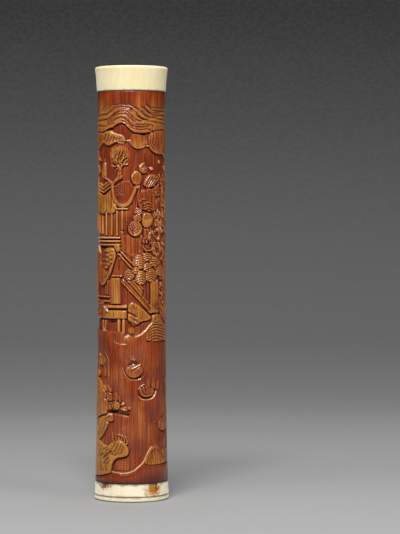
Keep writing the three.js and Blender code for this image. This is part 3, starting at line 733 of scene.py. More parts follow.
def strands(x, z, count, seed, level=-0.35, colour=0.45):
    # rough bark: upright ridges that sway, taper and part, with splits along them and a few knots
    draw = np.random.default_rng(seed)
    for i in range(count):
        start = x[0] + (x[1] - x[0]) * (i % 4 + draw.uniform(0.2, 0.8)) / 4
        low = z[0] + (z[1] - z[0]) * (i // 4 * 4 + draw.uniform(-1.5, 1.5)) / count
        length = draw.uniform(6, 11)
        steps = 4
        line = [(start + draw.uniform(-0.8, 0.8), low + length * k / steps) for k in range(steps + 1)]
        shade = colour + draw.uniform(-0.25, 0.25)
        ridge(line, draw.uniform(1.5, 2.6), 0.7, level + draw.uniform(-0.3, 0.3), shade, gutter=0.85, rim=0.4)
        cut([(px + 0.25, pz) for px, pz in line], 0.24, 0.6, darken=0.5)
        if i % 3 == 0:
            oval(start + draw.uniform(-1, 1), low + length * 0.6, 1.7, 2.2, draw.uniform(-40, 40),
                 level + 0.3, shade + 0.1, gutter=0.5, rim=0.4)


def cloudLobes():
    # lobes that hang below the main stream, with a hollow between them
    form([(-1, 175), (-0.2, 177), (1.2, 178.7), (5.2, 179.9), (9.1, 179.4), (10.6, 176), (9.8, 172.8),
          (7.1, 172.6), (5.2, 171.7), (2.7, 171.5), (0.7, 172.5), (-0.6, 173.8)], (-1, -0.02), (0.35, 0.95),
         gutter=0.5, rim=0.1, edge=0.3)
    cut([(4.9, 172.5), (6.9, 173.3), (9.4, 173.5)], 0.35, 0.5)
    form([(-19, 189.6), (-16.5, 189.1), (-14, 186.7), (-13.1, 182.8), (-12.6, 180.5), (-10.6, 180.7),
          (-9.1, 179.5), (-6.6, 178.4), (-4.5, 177.8), (-2.9, 176.3), (-2.6, 175.2), (-4.7, 174.9),
          (-7.1, 174.9), (-9.1, 174.3), (-11.2, 173.3), (-13.1, 173.7), (-14, 174.7), (-15.5, 173.5),
          (-16.8, 171.9), (-19, 170.7)], -0.05, 0.8, gutter=0.65, rim=0.3)
    # painted highlights: a pale line along the left lobe's upper edge and two under it
    ridge([(-9.9, 179.6), (-7.9, 178.8), (-5.2, 178), (-3.9, 177.2)], 0.6, 0.4, 0.0, 2.3, gutter=0.1,
          rim=0.25)
    ridge([(-7, 174.7), (-5.2, 174.5), (-3.6, 174.6)], 0.5, 0.35, -0.3, 2.0, gutter=0.0, rim=0.2)
    ridge([(-2.2, 175.4), (-0.4, 175.7)], 0.5, 0.35, -0.5, 2.0, gutter=0.0, rim=0.2)
    cutLines([[(-14, 175.7), (-12.7, 178.6)], [(-12.6, 175.2), (-11.3, 178.3)],
              [(-11.2, 175.3), (-9.8, 177.9)], [(-9.7, 175.4), (-8.5, 177.3)], [(-8, 175.8), (-7.2, 176.9)],
              [(-6.4, 175.8), (-5.8, 176.8)]], 0.34, 0.5)
    form([(8.8, 186.2), (12.1, 187.2), (15.5, 186.7), (18.7, 185.7), (18.7, 169.2), (15.5, 169.3),
          (13.1, 169.3), (10.8, 170.5), (9.4, 172.4), (9, 176), (9.6, 179.4)], -0.02, 0.6, gutter=0.6)
    slit([(-11.8, 181.2), (-10.7, 181.7), (-9.4, 181.6)], 0.8)
    slit([(4.7, 178.7), (6.4, 178.5), (7.6, 178.8)], 0.85)


def streamCuts():
    # long cuts that follow the stream over the hump and part from each other, then the falls at both sides
    cutLines([[(-18.7, 187.7), (-15, 188.3), (-13.1, 188.4), (-11.6, 189), (-10.1, 190.4), (-9.1, 191.3),
               (-7.1, 191.8), (-4.7, 191.9), (-1.7, 191.5), (0.2, 190.8)],
              [(-18.7, 185.6), (-14, 185.8), (-12.1, 186.2), (-10.1, 187.4), (-8.6, 188.8), (-6.6, 189.9),
               (-4.7, 190.2), (-2.7, 189.8), (-1.2, 189), (0.2, 187.4), (1.7, 186), (3.2, 185.3), (5.2, 185)],
              [(-12.6, 185), (-10.6, 185.9), (-9.1, 187.1), (-7.1, 188.2), (-5.2, 188.6), (-3.2, 188.2),
               (-1.7, 187.5), (-0.2, 186.5), (0.7, 185.5), (2.2, 184.5)],
              [(-12.1, 183.9), (-10.6, 184.8), (-9.1, 185.5), (-7.1, 186.5), (-5.7, 186.8), (-3.7, 186.4),
               (-2.2, 185.3), (-0.7, 183.8), (0.7, 182.6), (2.7, 182.2), (5.2, 182.2), (7.6, 182.4),
               (9.1, 182.6)],
              [(7.9, 193.3), (9.4, 191.8), (10.6, 190.7), (12.1, 190.2), (14.5, 190.2), (18.7, 190.4)],
              [(5.2, 192.1), (7.1, 190.6), (8.6, 189.3), (10.1, 188.4), (12.1, 188), (15, 188.1),
               (18.7, 188.2)],
              [(5.4, 189.7), (6.6, 188.4), (8.1, 187.2), (9.6, 186.5), (11.6, 186.8), (14, 186.3),
               (18.7, 186.2)]], 0.34, 0.5)
    cutLines([[(-18.7, 183.4), (-15.6, 183), (-13, 182.6)],
              [(-9.1, 192.7), (-6.2, 193.1), (-1.7, 192.9), (1.2, 192.2), (3.7, 190.9)],
              [(-0.2, 190.7), (1.7, 189.6), (3.2, 188.4), (4.7, 187), (6.6, 185.9), (9.1, 185)],
              [(1.2, 191.6), (3.2, 190.7), (4.2, 189.1)],
              [(2.2, 183.5), (4.7, 183.3), (7.1, 183.4), (9.6, 183.3), (11.1, 182.6)],
              [(9.4, 191.9), (11.6, 191.6), (14, 191.7), (18.7, 192)],
              [(-0.2, 182.2), (1.2, 181.5), (3.2, 181), (5.7, 180.9), (8.1, 181.3), (10.1, 180.6),
               (11.6, 179.4)], [(9.6, 185.1), (12.5, 184.6), (18.7, 184.2)],
              [(-4.9, 185), (-3.2, 184.6), (-1.6, 183)],
              [(6.4, 191.9), (7.9, 190.3), (9.4, 189.2), (11.5, 189), (14.6, 189.3)],
              [(4.2, 190.6), (5.9, 188.6), (7.6, 187.1)],
              [(6.1, 189.9), (7.4, 188.3), (9, 187.3), (11, 187.3), (13.6, 187.2)],
              [(2.4, 188.2), (4.2, 186.8), (6.2, 185.6)],
              [(-9.6, 187.9), (-7.4, 189.1), (-5.2, 189.5), (-3, 189), (-1.2, 187.9)],
              [(3.4, 187.4), (5.6, 186.1), (8.4, 185.8)],
              [(-10, 189.2), (-8, 190.6), (-5, 191.1), (-2.2, 190.7), (0, 189.4)],
              [(-12.6, 182.9), (-10.9, 183.5), (-8.9, 184.2)]], 0.28, 0.4)
    cutLines([[(-13.5, 192.2), (-14.5, 190.8), (-15.3, 189.6)],
              [(-12.1, 192.3), (-13.1, 190.8), (-14, 189.4)],
              [(-10.6, 192.5), (-11.6, 191.1), (-12.6, 189.6)],
              [(-15, 187.2), (-15.5, 183.8), (-15, 180.4), (-15.8, 177)],
              [(-16.5, 187.2), (-16.7, 182.8), (-16.3, 178.9), (-16.9, 174.5)],
              [(-13.8, 184.8), (-14.3, 181.8), (-14, 178.9)], [(9.6, 181.8), (9.8, 178), (9.6, 174.1)],
              [(10.8, 182.3), (11.3, 178.9), (11.1, 175)], [(12.1, 181.8), (12.6, 178.4), (12.3, 174.6)],
              [(13.3, 182.3), (13.8, 178), (13.5, 173.1)], [(14.7, 182.2), (15.2, 177), (14.9, 172)],
              [(16.2, 182), (16.7, 176), (16.4, 170.5)], [(8.4, 177.5), (8.5, 175), (8.1, 173.1)],
              [(7.4, 178), (7.3, 175)], [(6.2, 177.5), (6.2, 175.5)],
              [(9.4, 174.1), (10.6, 172.4), (11.8, 171.2)], [(10.6, 174.8), (12.1, 173.1), (13.3, 171.6)],
              [(12.1, 175), (13.3, 173.6), (14.5, 172.4)]], 0.27, 0.38)


def bareTree():
    # open crown on a slightly sunk panel, and a trunk that leans into the roof
    form([(-11.3, 169.7), (-10.1, 172.1), (-7.1, 172.9), (-3.7, 172.6), (-1.4, 170.7), (-1.2, 167.3),
          (-2.4, 164.1), (-5.2, 162.7), (-7.6, 162.8), (-9.9, 164.5), (-11, 167)], -0.62, 0.75, gutter=0.0,
         rim=0.1, edge=0.6)
    fibres((-10.4, -1.9), (163.6, 171.8), 9, 0.3, seed=5)
    form([(-9.6, 155.1), (-8.9, 156.9), (-7.2, 158.2), (-4.9, 158.8), (-5, 157.3), (-6.8, 156.2),
          (-8.3, 154.9)], -0.1, 0.8)
    ridge([(-7.8, 156.6), (-6.6, 158.2), (-6, 160.5), (-6, 162.1), (-6.5, 163.4)], 2.2, 1.3, -0.05, 0.8,
          gutter=0.5)
    ridges([[(-6.2, 162.1), (-7.4, 163.7), (-8.8, 164.9), (-9.9, 167.3), (-10.5, 169.6)],
            [(-6, 161.2), (-5.1, 163.2), (-3.7, 163.9), (-1.8, 164)]], 1.25, 0.6, -0.1, 0.85, gutter=0.5)
    ridges([[(-8.9, 165.1), (-7.9, 167.1), (-7.1, 168.9), (-6.2, 170.9)],
            [(-7.7, 167.4), (-6.4, 168), (-5.3, 169.5), (-4.7, 170.7)],
            [(-9.3, 166.1), (-9.2, 168), (-8.8, 169.6)], [(-5.1, 163.4), (-5.3, 165.3), (-4.8, 166.9)],
            [(-5.2, 165.5), (-3.9, 166.9), (-2.7, 167.6)], [(-5.8, 164.5), (-6.4, 166.1), (-6, 167.3)],
            [(-3.9, 163.9), (-3.4, 165.4), (-2.3, 166.1)], [(-7.4, 165), (-7.6, 166.6), (-7, 167.8)],
            [(-9.9, 167.3), (-9.4, 169.2), (-9, 171)], [(-4.4, 166.6), (-3.8, 168.6), (-3, 169.8)]], 0.85,
           0.5, 0.0, 1.15, gutter=0.75)
    ridge([(-10.1, 163.7), (-9.1, 163), (-7.9, 163.1)], 0.7, 0.5, -0.15, 0.8)
    cutLines([[(-9.8, 164.3), (-8.8, 164.2), (-7.9, 163.7)]], 0.4, 0.6)
    cutLines([[(-6.4, 158.2), (-5.8, 160.5), (-5.9, 161.9)]], 0.22, 0.2)


def eavesRoof():
    # corner finial, nested ridge mouldings and two rows of rounded tile ends
    ridge([(-13.7, 166.8), (-13.8, 163.4)], 0.5, 0.9, -0.3, 0.5)
    form([(-12.9, 166.3), (-11.8, 164.8), (-11.3, 161.4), (-11.6, 158), (-12.5, 157.4), (-12.7, 161.4)], -0.6,
         0.05, gutter=0.2)
    form([(-13.7, 165), (-12.9, 162.6), (-12.5, 160), (-12.9, 157.5), (-14.3, 157.3), (-14.9, 159.7),
          (-14.6, 162.3)], -0.02, 0.95, gutter=0.6)
    ridges([[(-13.8, 157.8), (-12, 156.8), (-9.8, 154.9)]], 1.0, level=0.0, colour=0.6, smooth=False)
    # nested mouldings, their pale colour partly a painted highlight
    ridges([[(-15.7, 155.1), (-14.4, 153.7), (-12.1, 155.5)], [(-16.2, 153.8), (-14.3, 152.2), (-10.7, 155)],
            [(-16.7, 152.2), (-14.2, 150.6), (-9.8, 153.7)]], 0.8, level=-0.02, colour=1.3, smooth=False,
           gutter=0.8)
    form([(-19, 151.2), (-16.5, 150.9), (-14.2, 149.1), (-11.9, 150.7), (-10.1, 152.4), (-9.5, 149.3),
          (-8.3, 145.9), (-7.6, 143.2), (-8.3, 141.2), (-10.4, 140.2), (-12.1, 140.8), (-12.7, 142),
          (-13.3, 140.8), (-14.7, 140.2), (-16.4, 141.1), (-17.5, 142.5), (-19, 142.7)], -0.05, 0.9,
         gutter=0.6)
    cutLines([[(-12.7, 149.3), (-12.7, 141.7)]], 0.3, 0.45)
    cutLines([[(-11.5, 150.3), (-11.3, 142.3)], [(-10.3, 150.7), (-9.9, 143)],
              [(-13.9, 147.8), (-13.9, 141.8)], [(-15.2, 148.3), (-15.2, 142)],
              [(-16.4, 148.8), (-16.3, 142.7)], [(-9.1, 145.9), (-8.8, 142.7)]], 0.24, 0.28)
    slit([(-15.5, 139.6), (-14.5, 139.5), (-13.5, 139.7)], 0.6)


def curvedEave():
    # swelling panel framed by a double moulding that dips between two ends
    form([(-9.1, 153.5), (-7.6, 155.3), (-5.2, 156.3), (-1.7, 156.6), (1, 155.3), (1.5, 152.7), (0.3, 149.3),
          (-1.2, 146.6), (-3.4, 145), (-6, 145.1), (-7.7, 147.1), (-8.8, 150.3)], (-0.85, -0.3), 0.18,
         rim=0.35, gutter=0.25)
    ridges([[(-8.3, 152.8), (-6.4, 154.4)], [(-8.1, 151.6), (-5.8, 153.6)], [(-7.8, 150.5), (-5.5, 152.4)],
            [(-7, 150), (-5.3, 151.3)]], 0.55, level=-0.3, colour=0.8)
    oval(-5.2, 148.1, 4.8, 4.6, level=-0.25, colour=0.1, gutter=0.15, rim=0.4)
    lip = [(-9.8, 154.3), (-9.7, 151.7), (-9.1, 148.3), (-7.9, 145.8), (-5.8, 144.2), (-3.2, 144.3),
           (-0.9, 146), (0.5, 148.8), (1.8, 151.7), (3.1, 153.7)]
    ridge(lip, 1.9, level=-0.08, colour=0.75, gutter=0.6)
    # a pale painted highlight along the moulding's inner edge
    ridge(lip, 0.4, colour=1.3, gutter=0.4, rim=0.2)
    form([(2, 154.7), (4.5, 154.5), (4.3, 152.3), (2.4, 152.3)], 0.0, 0.85, smooth=False)
    ridge([(4, 152.2), (3.3, 148.8), (2.8, 145.4), (2.2, 142)], 1.0, 0.6, -0.35, 0.5, gutter=0.5)
    # the bar below, pale as a painted highlight
    ridge([(-7.8, 142.6), (-2.1, 142.6)], 0.75, colour=1.45, gutter=0.8)
    cut([(-9.3, 153.9), (-7.4, 155.6), (-5, 156.6)], 0.35, 0.55)


def slatScreen():
    # upright slats before a sunk screen
    form([(-19, 140.5), (-8.3, 140.3), (-7.6, 142.2), (-1.5, 142.2), (0, 141), (-0.2, 138.1), (-1.9, 135.5),
          (-2.2, 132.8), (-4.5, 131.3), (-5.2, 129.2), (-19, 129.2)], -0.95, 0.34, smooth=False, rim=0.02,
         gutter=0.0)
    fibres((-16, -1.7), (130.3, 140.1), 18, 0.22, seed=7)
    for x, bottom, top in (
            (-16.3, 130.8, 139.8), (-14.8, 130.6, 139.7), (-12.8, 130, 140.7), (-10.2, 130, 139.9),
            (-7.5, 129.8, 141.7), (-4.8, 132.6, 141.7)):
        ridge([(x, bottom), (x, top)], 0.85, level=-0.2, colour=1.22, gutter=0.75)
    ridge([(-2.5, 141.8), (-2.5, 136.2)], 0.7, level=-0.5, colour=0.6)


def beams():
    # three beams over the table, each with a pale painted highlight along its upper edge
    for z, colour in ((128.5, 2), (126.8, 1.7), (125.1, 1.3)):
        ridge([(-19.0, z), (-6.1, z)], 0.95, colour=0.6, gutter=0.85, rim=0.3)
        ridge([(-19.0, z + 0.2), (-6.3, z + 0.2)], 0.4, colour=colour, gutter=0.0, rim=0.1)
    form([(-9, 125.8), (-6.3, 125.8), (-5.5, 122.8), (-6.7, 121.4), (-7.7, 121.9), (-8.8, 123.8)], 0.0, 0.85,
         smooth=False)
    ridge([(-7, 120.7), (-5.5, 120.2)], 0.8, level=-0.05, colour=0.8)
    slit([(-15.7, 123.9), (-13.5, 123.8), (-10.8, 124)], 0.75)
    # a pale painted highlight at the left flank
    form([(-16.8, 125.2), (-16.1, 124.4), (-15.7, 122), (-15.5, 119.6), (-16, 119.4), (-16.6, 121.6)], 0.0,
         2.4, gutter=0.3)


def berryBranch():
    # hanging branch: folded leaves on the outside and berries within
    form([(-19, 120.6), (-17, 122.1), (-15.3, 121.1), (-13.5, 122.8), (-12.1, 123.7), (-9.6, 123.7),
          (-8.2, 121.6), (-8.2, 119.2), (-9.4, 115.5), (-10.6, 111.6), (-12.1, 108.4), (-13.7, 105.8),
          (-15, 105.3), (-16.1, 107.3), (-17.2, 111.4), (-19, 114.8)], -0.12, 0.75, gutter=0.65)
    form([(-14.8, 121), (-12.6, 121.6), (-10, 119.6), (-10.4, 115.4), (-12, 112.4), (-14, 113.4),
          (-15.2, 117.2)], -0.35, 0.15, gutter=0.2, rim=0.3)
    ridge([(-9, 122.1), (-8.5, 119.3), (-9.6, 115.6), (-10.9, 111.8), (-13.1, 107.5)], 0.95, 0.6, 0.0, 1.0)
    cutLines([[(-13.5, 121.6), (-13.6, 117.2), (-13.1, 113.6), (-13.6, 109)],
              [(-15, 116.2), (-14.8, 112.4), (-14.6, 107.5)], [(-16.1, 116.7), (-16, 112.8), (-15.6, 109)],
              [(-12.2, 113.8), (-12.4, 110.9), (-13.2, 108.5)]], 0.3, 0.5)
    cut([(-15.3, 116.9), (-13.3, 117)], 0.5, 0.7)
    cut([(-15.2, 119.6), (-13.7, 119)], 0.45, 0.5)
    for x, z, size in (
            (-11.9, 122.4, 2.3), (-10.1, 122.8, 1.9), (-10.2, 121.1, 1.9), (-12.1, 120.3, 1.9),
            (-10.8, 119, 2.1), (-12.2, 117.9, 1.9), (-10.6, 117, 1.7), (-11.7, 115.8, 1.9),
            (-12.7, 114.2, 1.6)):
        bead(x, z, size, 0.0, 1.0)


def plainPanels():
    # bare wall behind the garden, with its fibres showing
    form([(-5.4, 129.2), (-1.7, 130), (6, 129.6), (7, 125), (6, 120.6), (2.2, 118.9), (-2, 120.6),
          (-5.2, 122.8)], -0.75, 0.5, gutter=0.1, rim=0.15)
    fibres((-4.7, 6.2), (120.1, 129.4), 13, 0.34, 0.26, seed=11)
    form([(-8.8, 119), (-6, 119.2), (-1.4, 113.8), (-3.2, 110.4), (-9.8, 110.4)], -0.85, 0.25, smooth=False,
         gutter=0.1)
    fibres((-8.6, -2.7), (110.9, 117.7), 6, 0.3, seed=13)
    fibres((-0.2, 15), (160.5, 170.7), 19, 0.3, 0.25, seed=17)
    fibres((4.2, 13.1), (145.9, 151.7), 9, 0.3, seed=19)


def seedHeads():
    # a string of hatched heads and leaves down the right of the garden
    oval(6.2, 161.8, 4.3, 4.3, level=-0.02, colour=0.45, rim=0.4)
    # painted highlight on the head's upper edge
    ridge([(4.4, 163), (5.3, 164.1), (6.7, 164.5)], 0.8, 0.5, 0.02, 2.5, gutter=0.1)
    cutLines([[(5.1, 162.1), (6.5, 163.1)], [(5.3, 161.1), (7.1, 162.4)], [(6, 160.4), (7.5, 161.4)]], 0.25,
             0.32)
    # berry painted pale as a highlight
    bead(10.2, 162.1, 1.8, 0.0, 1.7)
    form([(-0.1, 157.6), (0.4, 159.5), (1.7, 160.8), (3.7, 160.6), (5.2, 158.8), (5.1, 156.1), (3.9, 154.5),
          (2, 154.3), (0.5, 155.3)], -0.02, 0.85, gutter=0.7)
    cutLines([[(1.1, 155.5), (1, 159.2)], [(2, 154.9), (1.9, 160)], [(3, 154.9), (2.8, 160.2)],
              [(3.9, 155.3), (3.7, 159.8)], [(4.6, 156), (4.5, 158.8)]], 0.25, 0.3)
    # painted highlight on the upper edge
    ridge([(0.3, 158.2), (1, 159.6), (2.4, 160.4)], 0.6, 0.4, 0.02, 2.3, gutter=0.0, rim=0.3)
    form([(6.2, 154.6), (7.8, 157.3), (10.1, 159.4), (13.1, 158.7), (14.3, 156.5), (12.4, 154.4), (9.3, 153),
          (7.1, 153.2)], -0.02, 0.6, gutter=0.55)
    for i in range(5):
        cut([(7.1 + 1.15 * i, 153.4 + 0.2 * i), (9.4 + 1.2 * i, 157.6 - 0.2 * i)], 0.3, 0.85, darken=0.6)
    form([(7.9, 152.7), (10.6, 152.2), (13.1, 153.7), (14.9, 152.4), (14.5, 149.6), (12.3, 148.7),
          (9.7, 149.8)], -0.15, 0.5)
    cutLines([[(9.1, 151.5), (11.6, 150), (14, 150.7)], [(10.1, 152.3), (12.1, 151.2)]], 0.26, 0.34)
    form([(3.9, 149.3), (5.2, 151.4), (8.1, 151.8), (10.9, 149.5), (13.4, 147), (14, 144.2), (12.1, 142),
          (9.1, 141.3), (7.1, 142.2), (4.5, 142.6), (3.4, 145.9)], -0.25, 0.35, gutter=0.5)
    fibres((4.2, 13.1), (143, 150.3), 10, 0.3, 0.25, seed=23)
    ridge([(4.5, 146.4), (5.6, 147.3), (7.3, 147.1)], 1.0, 0.6, gutter=0.3)
    ridges([[(6.5, 144.6), (8.1, 145.6), (10, 145)], [(6.4, 143.5), (8.1, 144.3), (10.2, 143.8)],
            [(6.6, 142.3), (8.4, 143.1), (10.2, 142.6)]], 0.62, level=0.0, colour=0.75, gutter=0.7)
    form([(1.3, 141), (2.5, 142.9), (4.4, 143), (5.5, 141.5), (4.7, 139.9), (2.5, 139.7)], gutter=0.6)
    hatch(3.5, 141.3, 3.0, 3.0, 4, 35, 0.5)
    form([(0.9, 138.4), (2, 139.7), (4.4, 139.7), (5.3, 138.1), (4.5, 136.3), (2.4, 135.9), (1.1, 136.8)],
         gutter=0.6)
    hatch(3.1, 138.1, 3.4, 3.4, 4, -24, 0.32)
    form([(5.4, 136), (5.8, 138.9), (7.1, 140.5), (9.5, 140.3), (10.7, 138.1), (10.3, 135.4), (8.4, 133.5),
          (6.4, 133.7)], 0.0, 0.95, gutter=0.6)
    cutLines([[(6.8, 137.6), (7.3, 139.7)], [(7.8, 137.1), (8.2, 139.7)], [(8.8, 137.4), (9.1, 139.4)],
              [(9.7, 137.6), (9.8, 138.9)]], 0.27)
    oval(1.8, 132.9, 7.4, 7.6, colour=0.95, gutter=0.75, rim=0.45)
    patches([(-0.5, 133.6, 3.2, 5.0, -0.9)])
    for i in range(5):
        off = 1.1 * (i - 2)
        reach = 2.7 - 0.4 * abs(i - 2)
        for tilt in (-52, 38):
            cut(placed([(-reach, off), (reach, off)], 1.9, 133.3, tilt), 0.22, 0.36, darken=0.5)
    ridge([(7, 127.9), (8.4, 129.4), (9.4, 131)], 0.6, 0.5, 0.0, 0.8)
    # painted highlight on the stick's tip
    ridge([(8.7, 130), (9.9, 131.6)], 0.6, 0.4, 0.05, 2.4, gutter=0.0)
    # short painted highlights on the bark's edge at the right
    ridges([[(14.2, 141.2), (14.6, 139.6)], [(14.8, 133.4), (15.1, 131)], [(14.3, 125), (14.6, 122.8)]], 0.7,
           0.5, 0.0, 2.0, gutter=0.2)
    ridge([(6.2, 124), (7.4, 122.3), (10.5, 122.5)], 0.8, 0.6, -0.05)
    slit([(8.4, 127.1), (9, 125.8), (10.2, 124.8)], 0.8)


def barkWall():
    # rough rock and bark that close the view on the right
    strands((12.4, 18.4), (148, 160), 8, 29, -0.4, 0.4)
    strands((6.6, 11.6), (118, 132), 8, 37, -0.3, 0.3)
    strands((11, 18.4), (116, 150), 24, 31, -0.15, 0.6)
    strands((13.6, 18.4), (90, 116), 16, 41, -0.2, 0.5)
    form([(6.4, 133), (7.2, 134.4), (9.4, 134.2), (10.4, 131), (9.6, 127.4), (7.8, 125.6), (6.6, 128.4)],
         -0.1, 0.35, gutter=0.7, rim=0.4)
    cutLines([[(7.4, 133), (8, 129.6), (7.6, 127)], [(9, 133.2), (9.2, 129.4)]], 0.25, 0.4)


def barkGlints():
    # short pale painted highlights on the bark's edges
    draw = np.random.default_rng(83)
    for x, low, high, count in (
            (13.6, 120, 152, 9), (10.2, 119, 133, 5), (15.6, 92, 118, 6), (15.8, 150, 168, 5)):
        for i in range(count):
            z = low + (high - low) * (i + draw.uniform(0.2, 0.8)) / count
            across = x + draw.uniform(-1.8, 1.4)
            ridge([(across, z), (across + draw.uniform(-0.5, 0.7), z - draw.uniform(0.9, 1.8))], 0.55, 0.35,
                  0.0, 1.9, gutter=0.3)


def pineTufts():
    # the bush behind the rail, tuft over tuft
    for x, z, width, height, lines, tilt in (
            (7.8, 119.4, 5.0, 4.2, 4, 10), (11.9, 117.0, 5.4, 4.6, 4, -8), (14.4, 112.8, 3.8, 5.2, 5, 0),
            (3.9, 117.1, 6.8, 6.8, 6, 4), (8.2, 114.6, 4.8, 4.4, 4, 12), (-1.1, 110.7, 5.6, 5.2, 5, -6),
            (2.3, 112.9, 3.8, 3.6, 3, 0), (5.0, 109.4, 6.2, 6.6, 6, 0), (10.1, 110.6, 5.6, 6.6, 6, -4)):
        coneFan(x, z, width, height, lines, tilt)


def gardenRail():
    # slanting rails between two square posts
    ridges([[(-5.5, 121.9), (3.1, 113.2)], [(-5.9, 120), (1.4, 112.5)]], 0.7, colour=0.95, gutter=0.55)
    form([(-5.4, 108.4), (-2.4, 109.3), (10.9, 93.9), (9.6, 91.6)], -0.3, 0.4, smooth=False, gutter=0.5)
    ridges([[(-5.3, 107.6), (9.7, 91.7)], [(-3.2, 109), (10.9, 93.6)]], 0.6, level=0.0, colour=1.15,
           gutter=0.4)
    form([(-1.4, 107.8), (2, 108.5), (6, 103.9), (5.4, 99.9)], -0.35, 0.4, smooth=False, gutter=0.4)
    ridges([[(-1, 107.3), (5.1, 100.1)], [(0.6, 107.5), (5.7, 101.7)], [(2.4, 107.7), (6.1, 103.4)]], 0.55,
           level=-0.05, colour=1.1, gutter=0.6)
    ridge([(-2.5, 109.3), (-1, 106.8)], 0.9, colour=0.8)
    ridge([(-9.9, 110), (-5, 110)], 0.8)
    form([(-10, 109.1), (-5.8, 109.1), (-5.8, 96.3), (-10, 96.3)], 0.0, 1.0, smooth=False, rim=0.16,
         gutter=0.6)
    cutLines([[(-9.4, 109), (-9.4, 96.5)], [(-6.3, 109), (-6.3, 96.5)]], 0.2, 0.22)
    ridges([[(-11, 107.5), (-11, 96.6)], [(-12.2, 107.5), (-12.2, 100.9)], [(-13.3, 105.1), (-13.3, 101.2)]],
           0.65, level=-0.35, colour=0.5)
    ridges([[(-19, 100), (-11.3, 99.8)], [(-19, 98), (-11.1, 97.6)]], 0.8, colour=0.6)
    bead(-15.0, 96.8, 2.0, 0.0, 0.8)
    form([(9.6, 107.7), (13.2, 108.3), (13.4, 91.9), (9.6, 91.9)], 0.0, 0.9, smooth=False, rim=0.16,
         gutter=0.6)
    cut([(10.2, 107.5), (10.2, 92.1)], 0.2, 0.24)
    ridge([(8.6, 106.5), (8.6, 93.4)], 0.6, level=-0.45, colour=0.3)
    form([(10.9, 96.3), (12.3, 98.3), (14.3, 97.7), (14.5, 95.3), (12.9, 94), (11.6, 94.9)], 0.02, 0.45,
         gutter=0.6)
    cutLines([[(12.1, 96), (13.5, 96.5)], [(12.6, 95), (14, 95.5)]], 0.25, 0.35)
    fibres((-4.7, -1.7), (96.8, 106), 4, 0.3, seed=43)
    fibres((5.7, 8.6), (96.3, 104.1), 4, 0.3, seed=47)
    ridge([(14, 104.1), (15.7, 106.3), (17, 109)], 0.7, 0.5, -0.2, 0.6)


def stoneTable():
    # low table with its legs, and a stone at its left end
    form([(-19, 93.9), (-16.5, 95.3), (-14, 95.9), (-12.1, 93.9), (-12.4, 91.6), (-14, 89.7), (-17, 89.2),
          (-19, 89.2)], -0.05, gutter=0.5)
    cutLines([[(-17, 93.4), (-15.5, 94.2), (-14.2, 92.6)], [(-16.5, 91.2), (-14.5, 91.6)]], 0.28, 0.4)
    form([(-12.6, 95.9), (-2.1, 95.9), (-2.1, 94.3), (-11.8, 94.3)], 0.0, 0.85, smooth=False, gutter=0.6,
         rim=0.25)
    form([(-11.6, 93.3), (-2.5, 93.3), (-2.5, 89.2), (-14.5, 89.2), (-12.6, 91.5)], 0.0, 1.0, smooth=False,
         gutter=0.6, rim=0.2)
    # painted highlight on the stone's edge
    ridge([(-13.6, 94.7), (-12.1, 92.8)], 0.9, level=0.02, colour=2.5)
    form([(-12.4, 88.5), (-7.4, 88.5), (-7.4, 82.7), (-12.4, 82.7)], (-1.45, -0.7), 0.12, smooth=False,
         rim=0.0, gutter=0.0)
    ridges([[(-14.3, 88.3), (-14.3, 82.9)], [(-13.1, 88.3), (-13.1, 83)]], 0.85, level=-0.12, colour=0.6)
    ridges([[(-6.5, 88.3), (-6.5, 82.7)], [(-4.1, 88.3), (-4.1, 82.4)]], 1.6, level=-0.05, colour=0.9)
    cut([(-5.2, 88.5), (-5.2, 82.7)], 0.3, 0.5)
    slit([(-11.8, 88.1), (-9.9, 87.8), (-7.9, 88.1)], 0.8)


def waterLedge():
    # broken ledge beside the table and the shaded water below it
    form([(-1.7, 95.8), (0.2, 97), (2.7, 96.3), (5.7, 94), (8.9, 91.2), (9.9, 89.5), (8.1, 88.3), (5.2, 87.8),
          (2.9, 86.4), (1.5, 85.6), (-0.7, 87.1), (-1.9, 88.5), (-1.8, 92.4)], -0.2, 1.0, gutter=0.8)
    cutLines([[(-1.7, 92.2), (0.2, 91.6), (2.4, 90.3)], [(-1.7, 88.1), (0.2, 86.9), (2.2, 86.1)]], 0.4, 0.7)
    cutLines([[(-0.2, 95.8), (1.5, 93.7), (2.2, 91.5)], [(2.7, 94.9), (4, 92.4), (4.7, 89.5)],
              [(5.7, 92.9), (6.5, 90.5), (6, 88.5)], [(-0.4, 90), (0.9, 89.3), (1.7, 88.1)],
              [(7.6, 91), (8.1, 89.2)], [(0.9, 96), (2.6, 93.4), (3.2, 91)],
              [(4.2, 94.2), (5.4, 91.6), (5.2, 89)], [(-1.2, 94.6), (0.4, 92.8)], [(1.6, 89), (3.4, 87.6)]],
             0.26, 0.34)
    form([(-1.7, 85.6), (1.2, 84.8), (5.2, 86.8), (8.9, 87.9), (9.6, 86.6), (7.1, 83.9), (4.2, 81.5),
          (1.2, 81), (-1.5, 81.5)], (-0.75, -1.2), 0.35, gutter=0.2, rim=0.0)
    fibres((2.2, 8.6), (81.7, 87.1), 11, 0.32, 0.24, seed=53)
    oval(0.0, 83.5, 3.6, 3.2, level=-0.7, gutter=0.15)


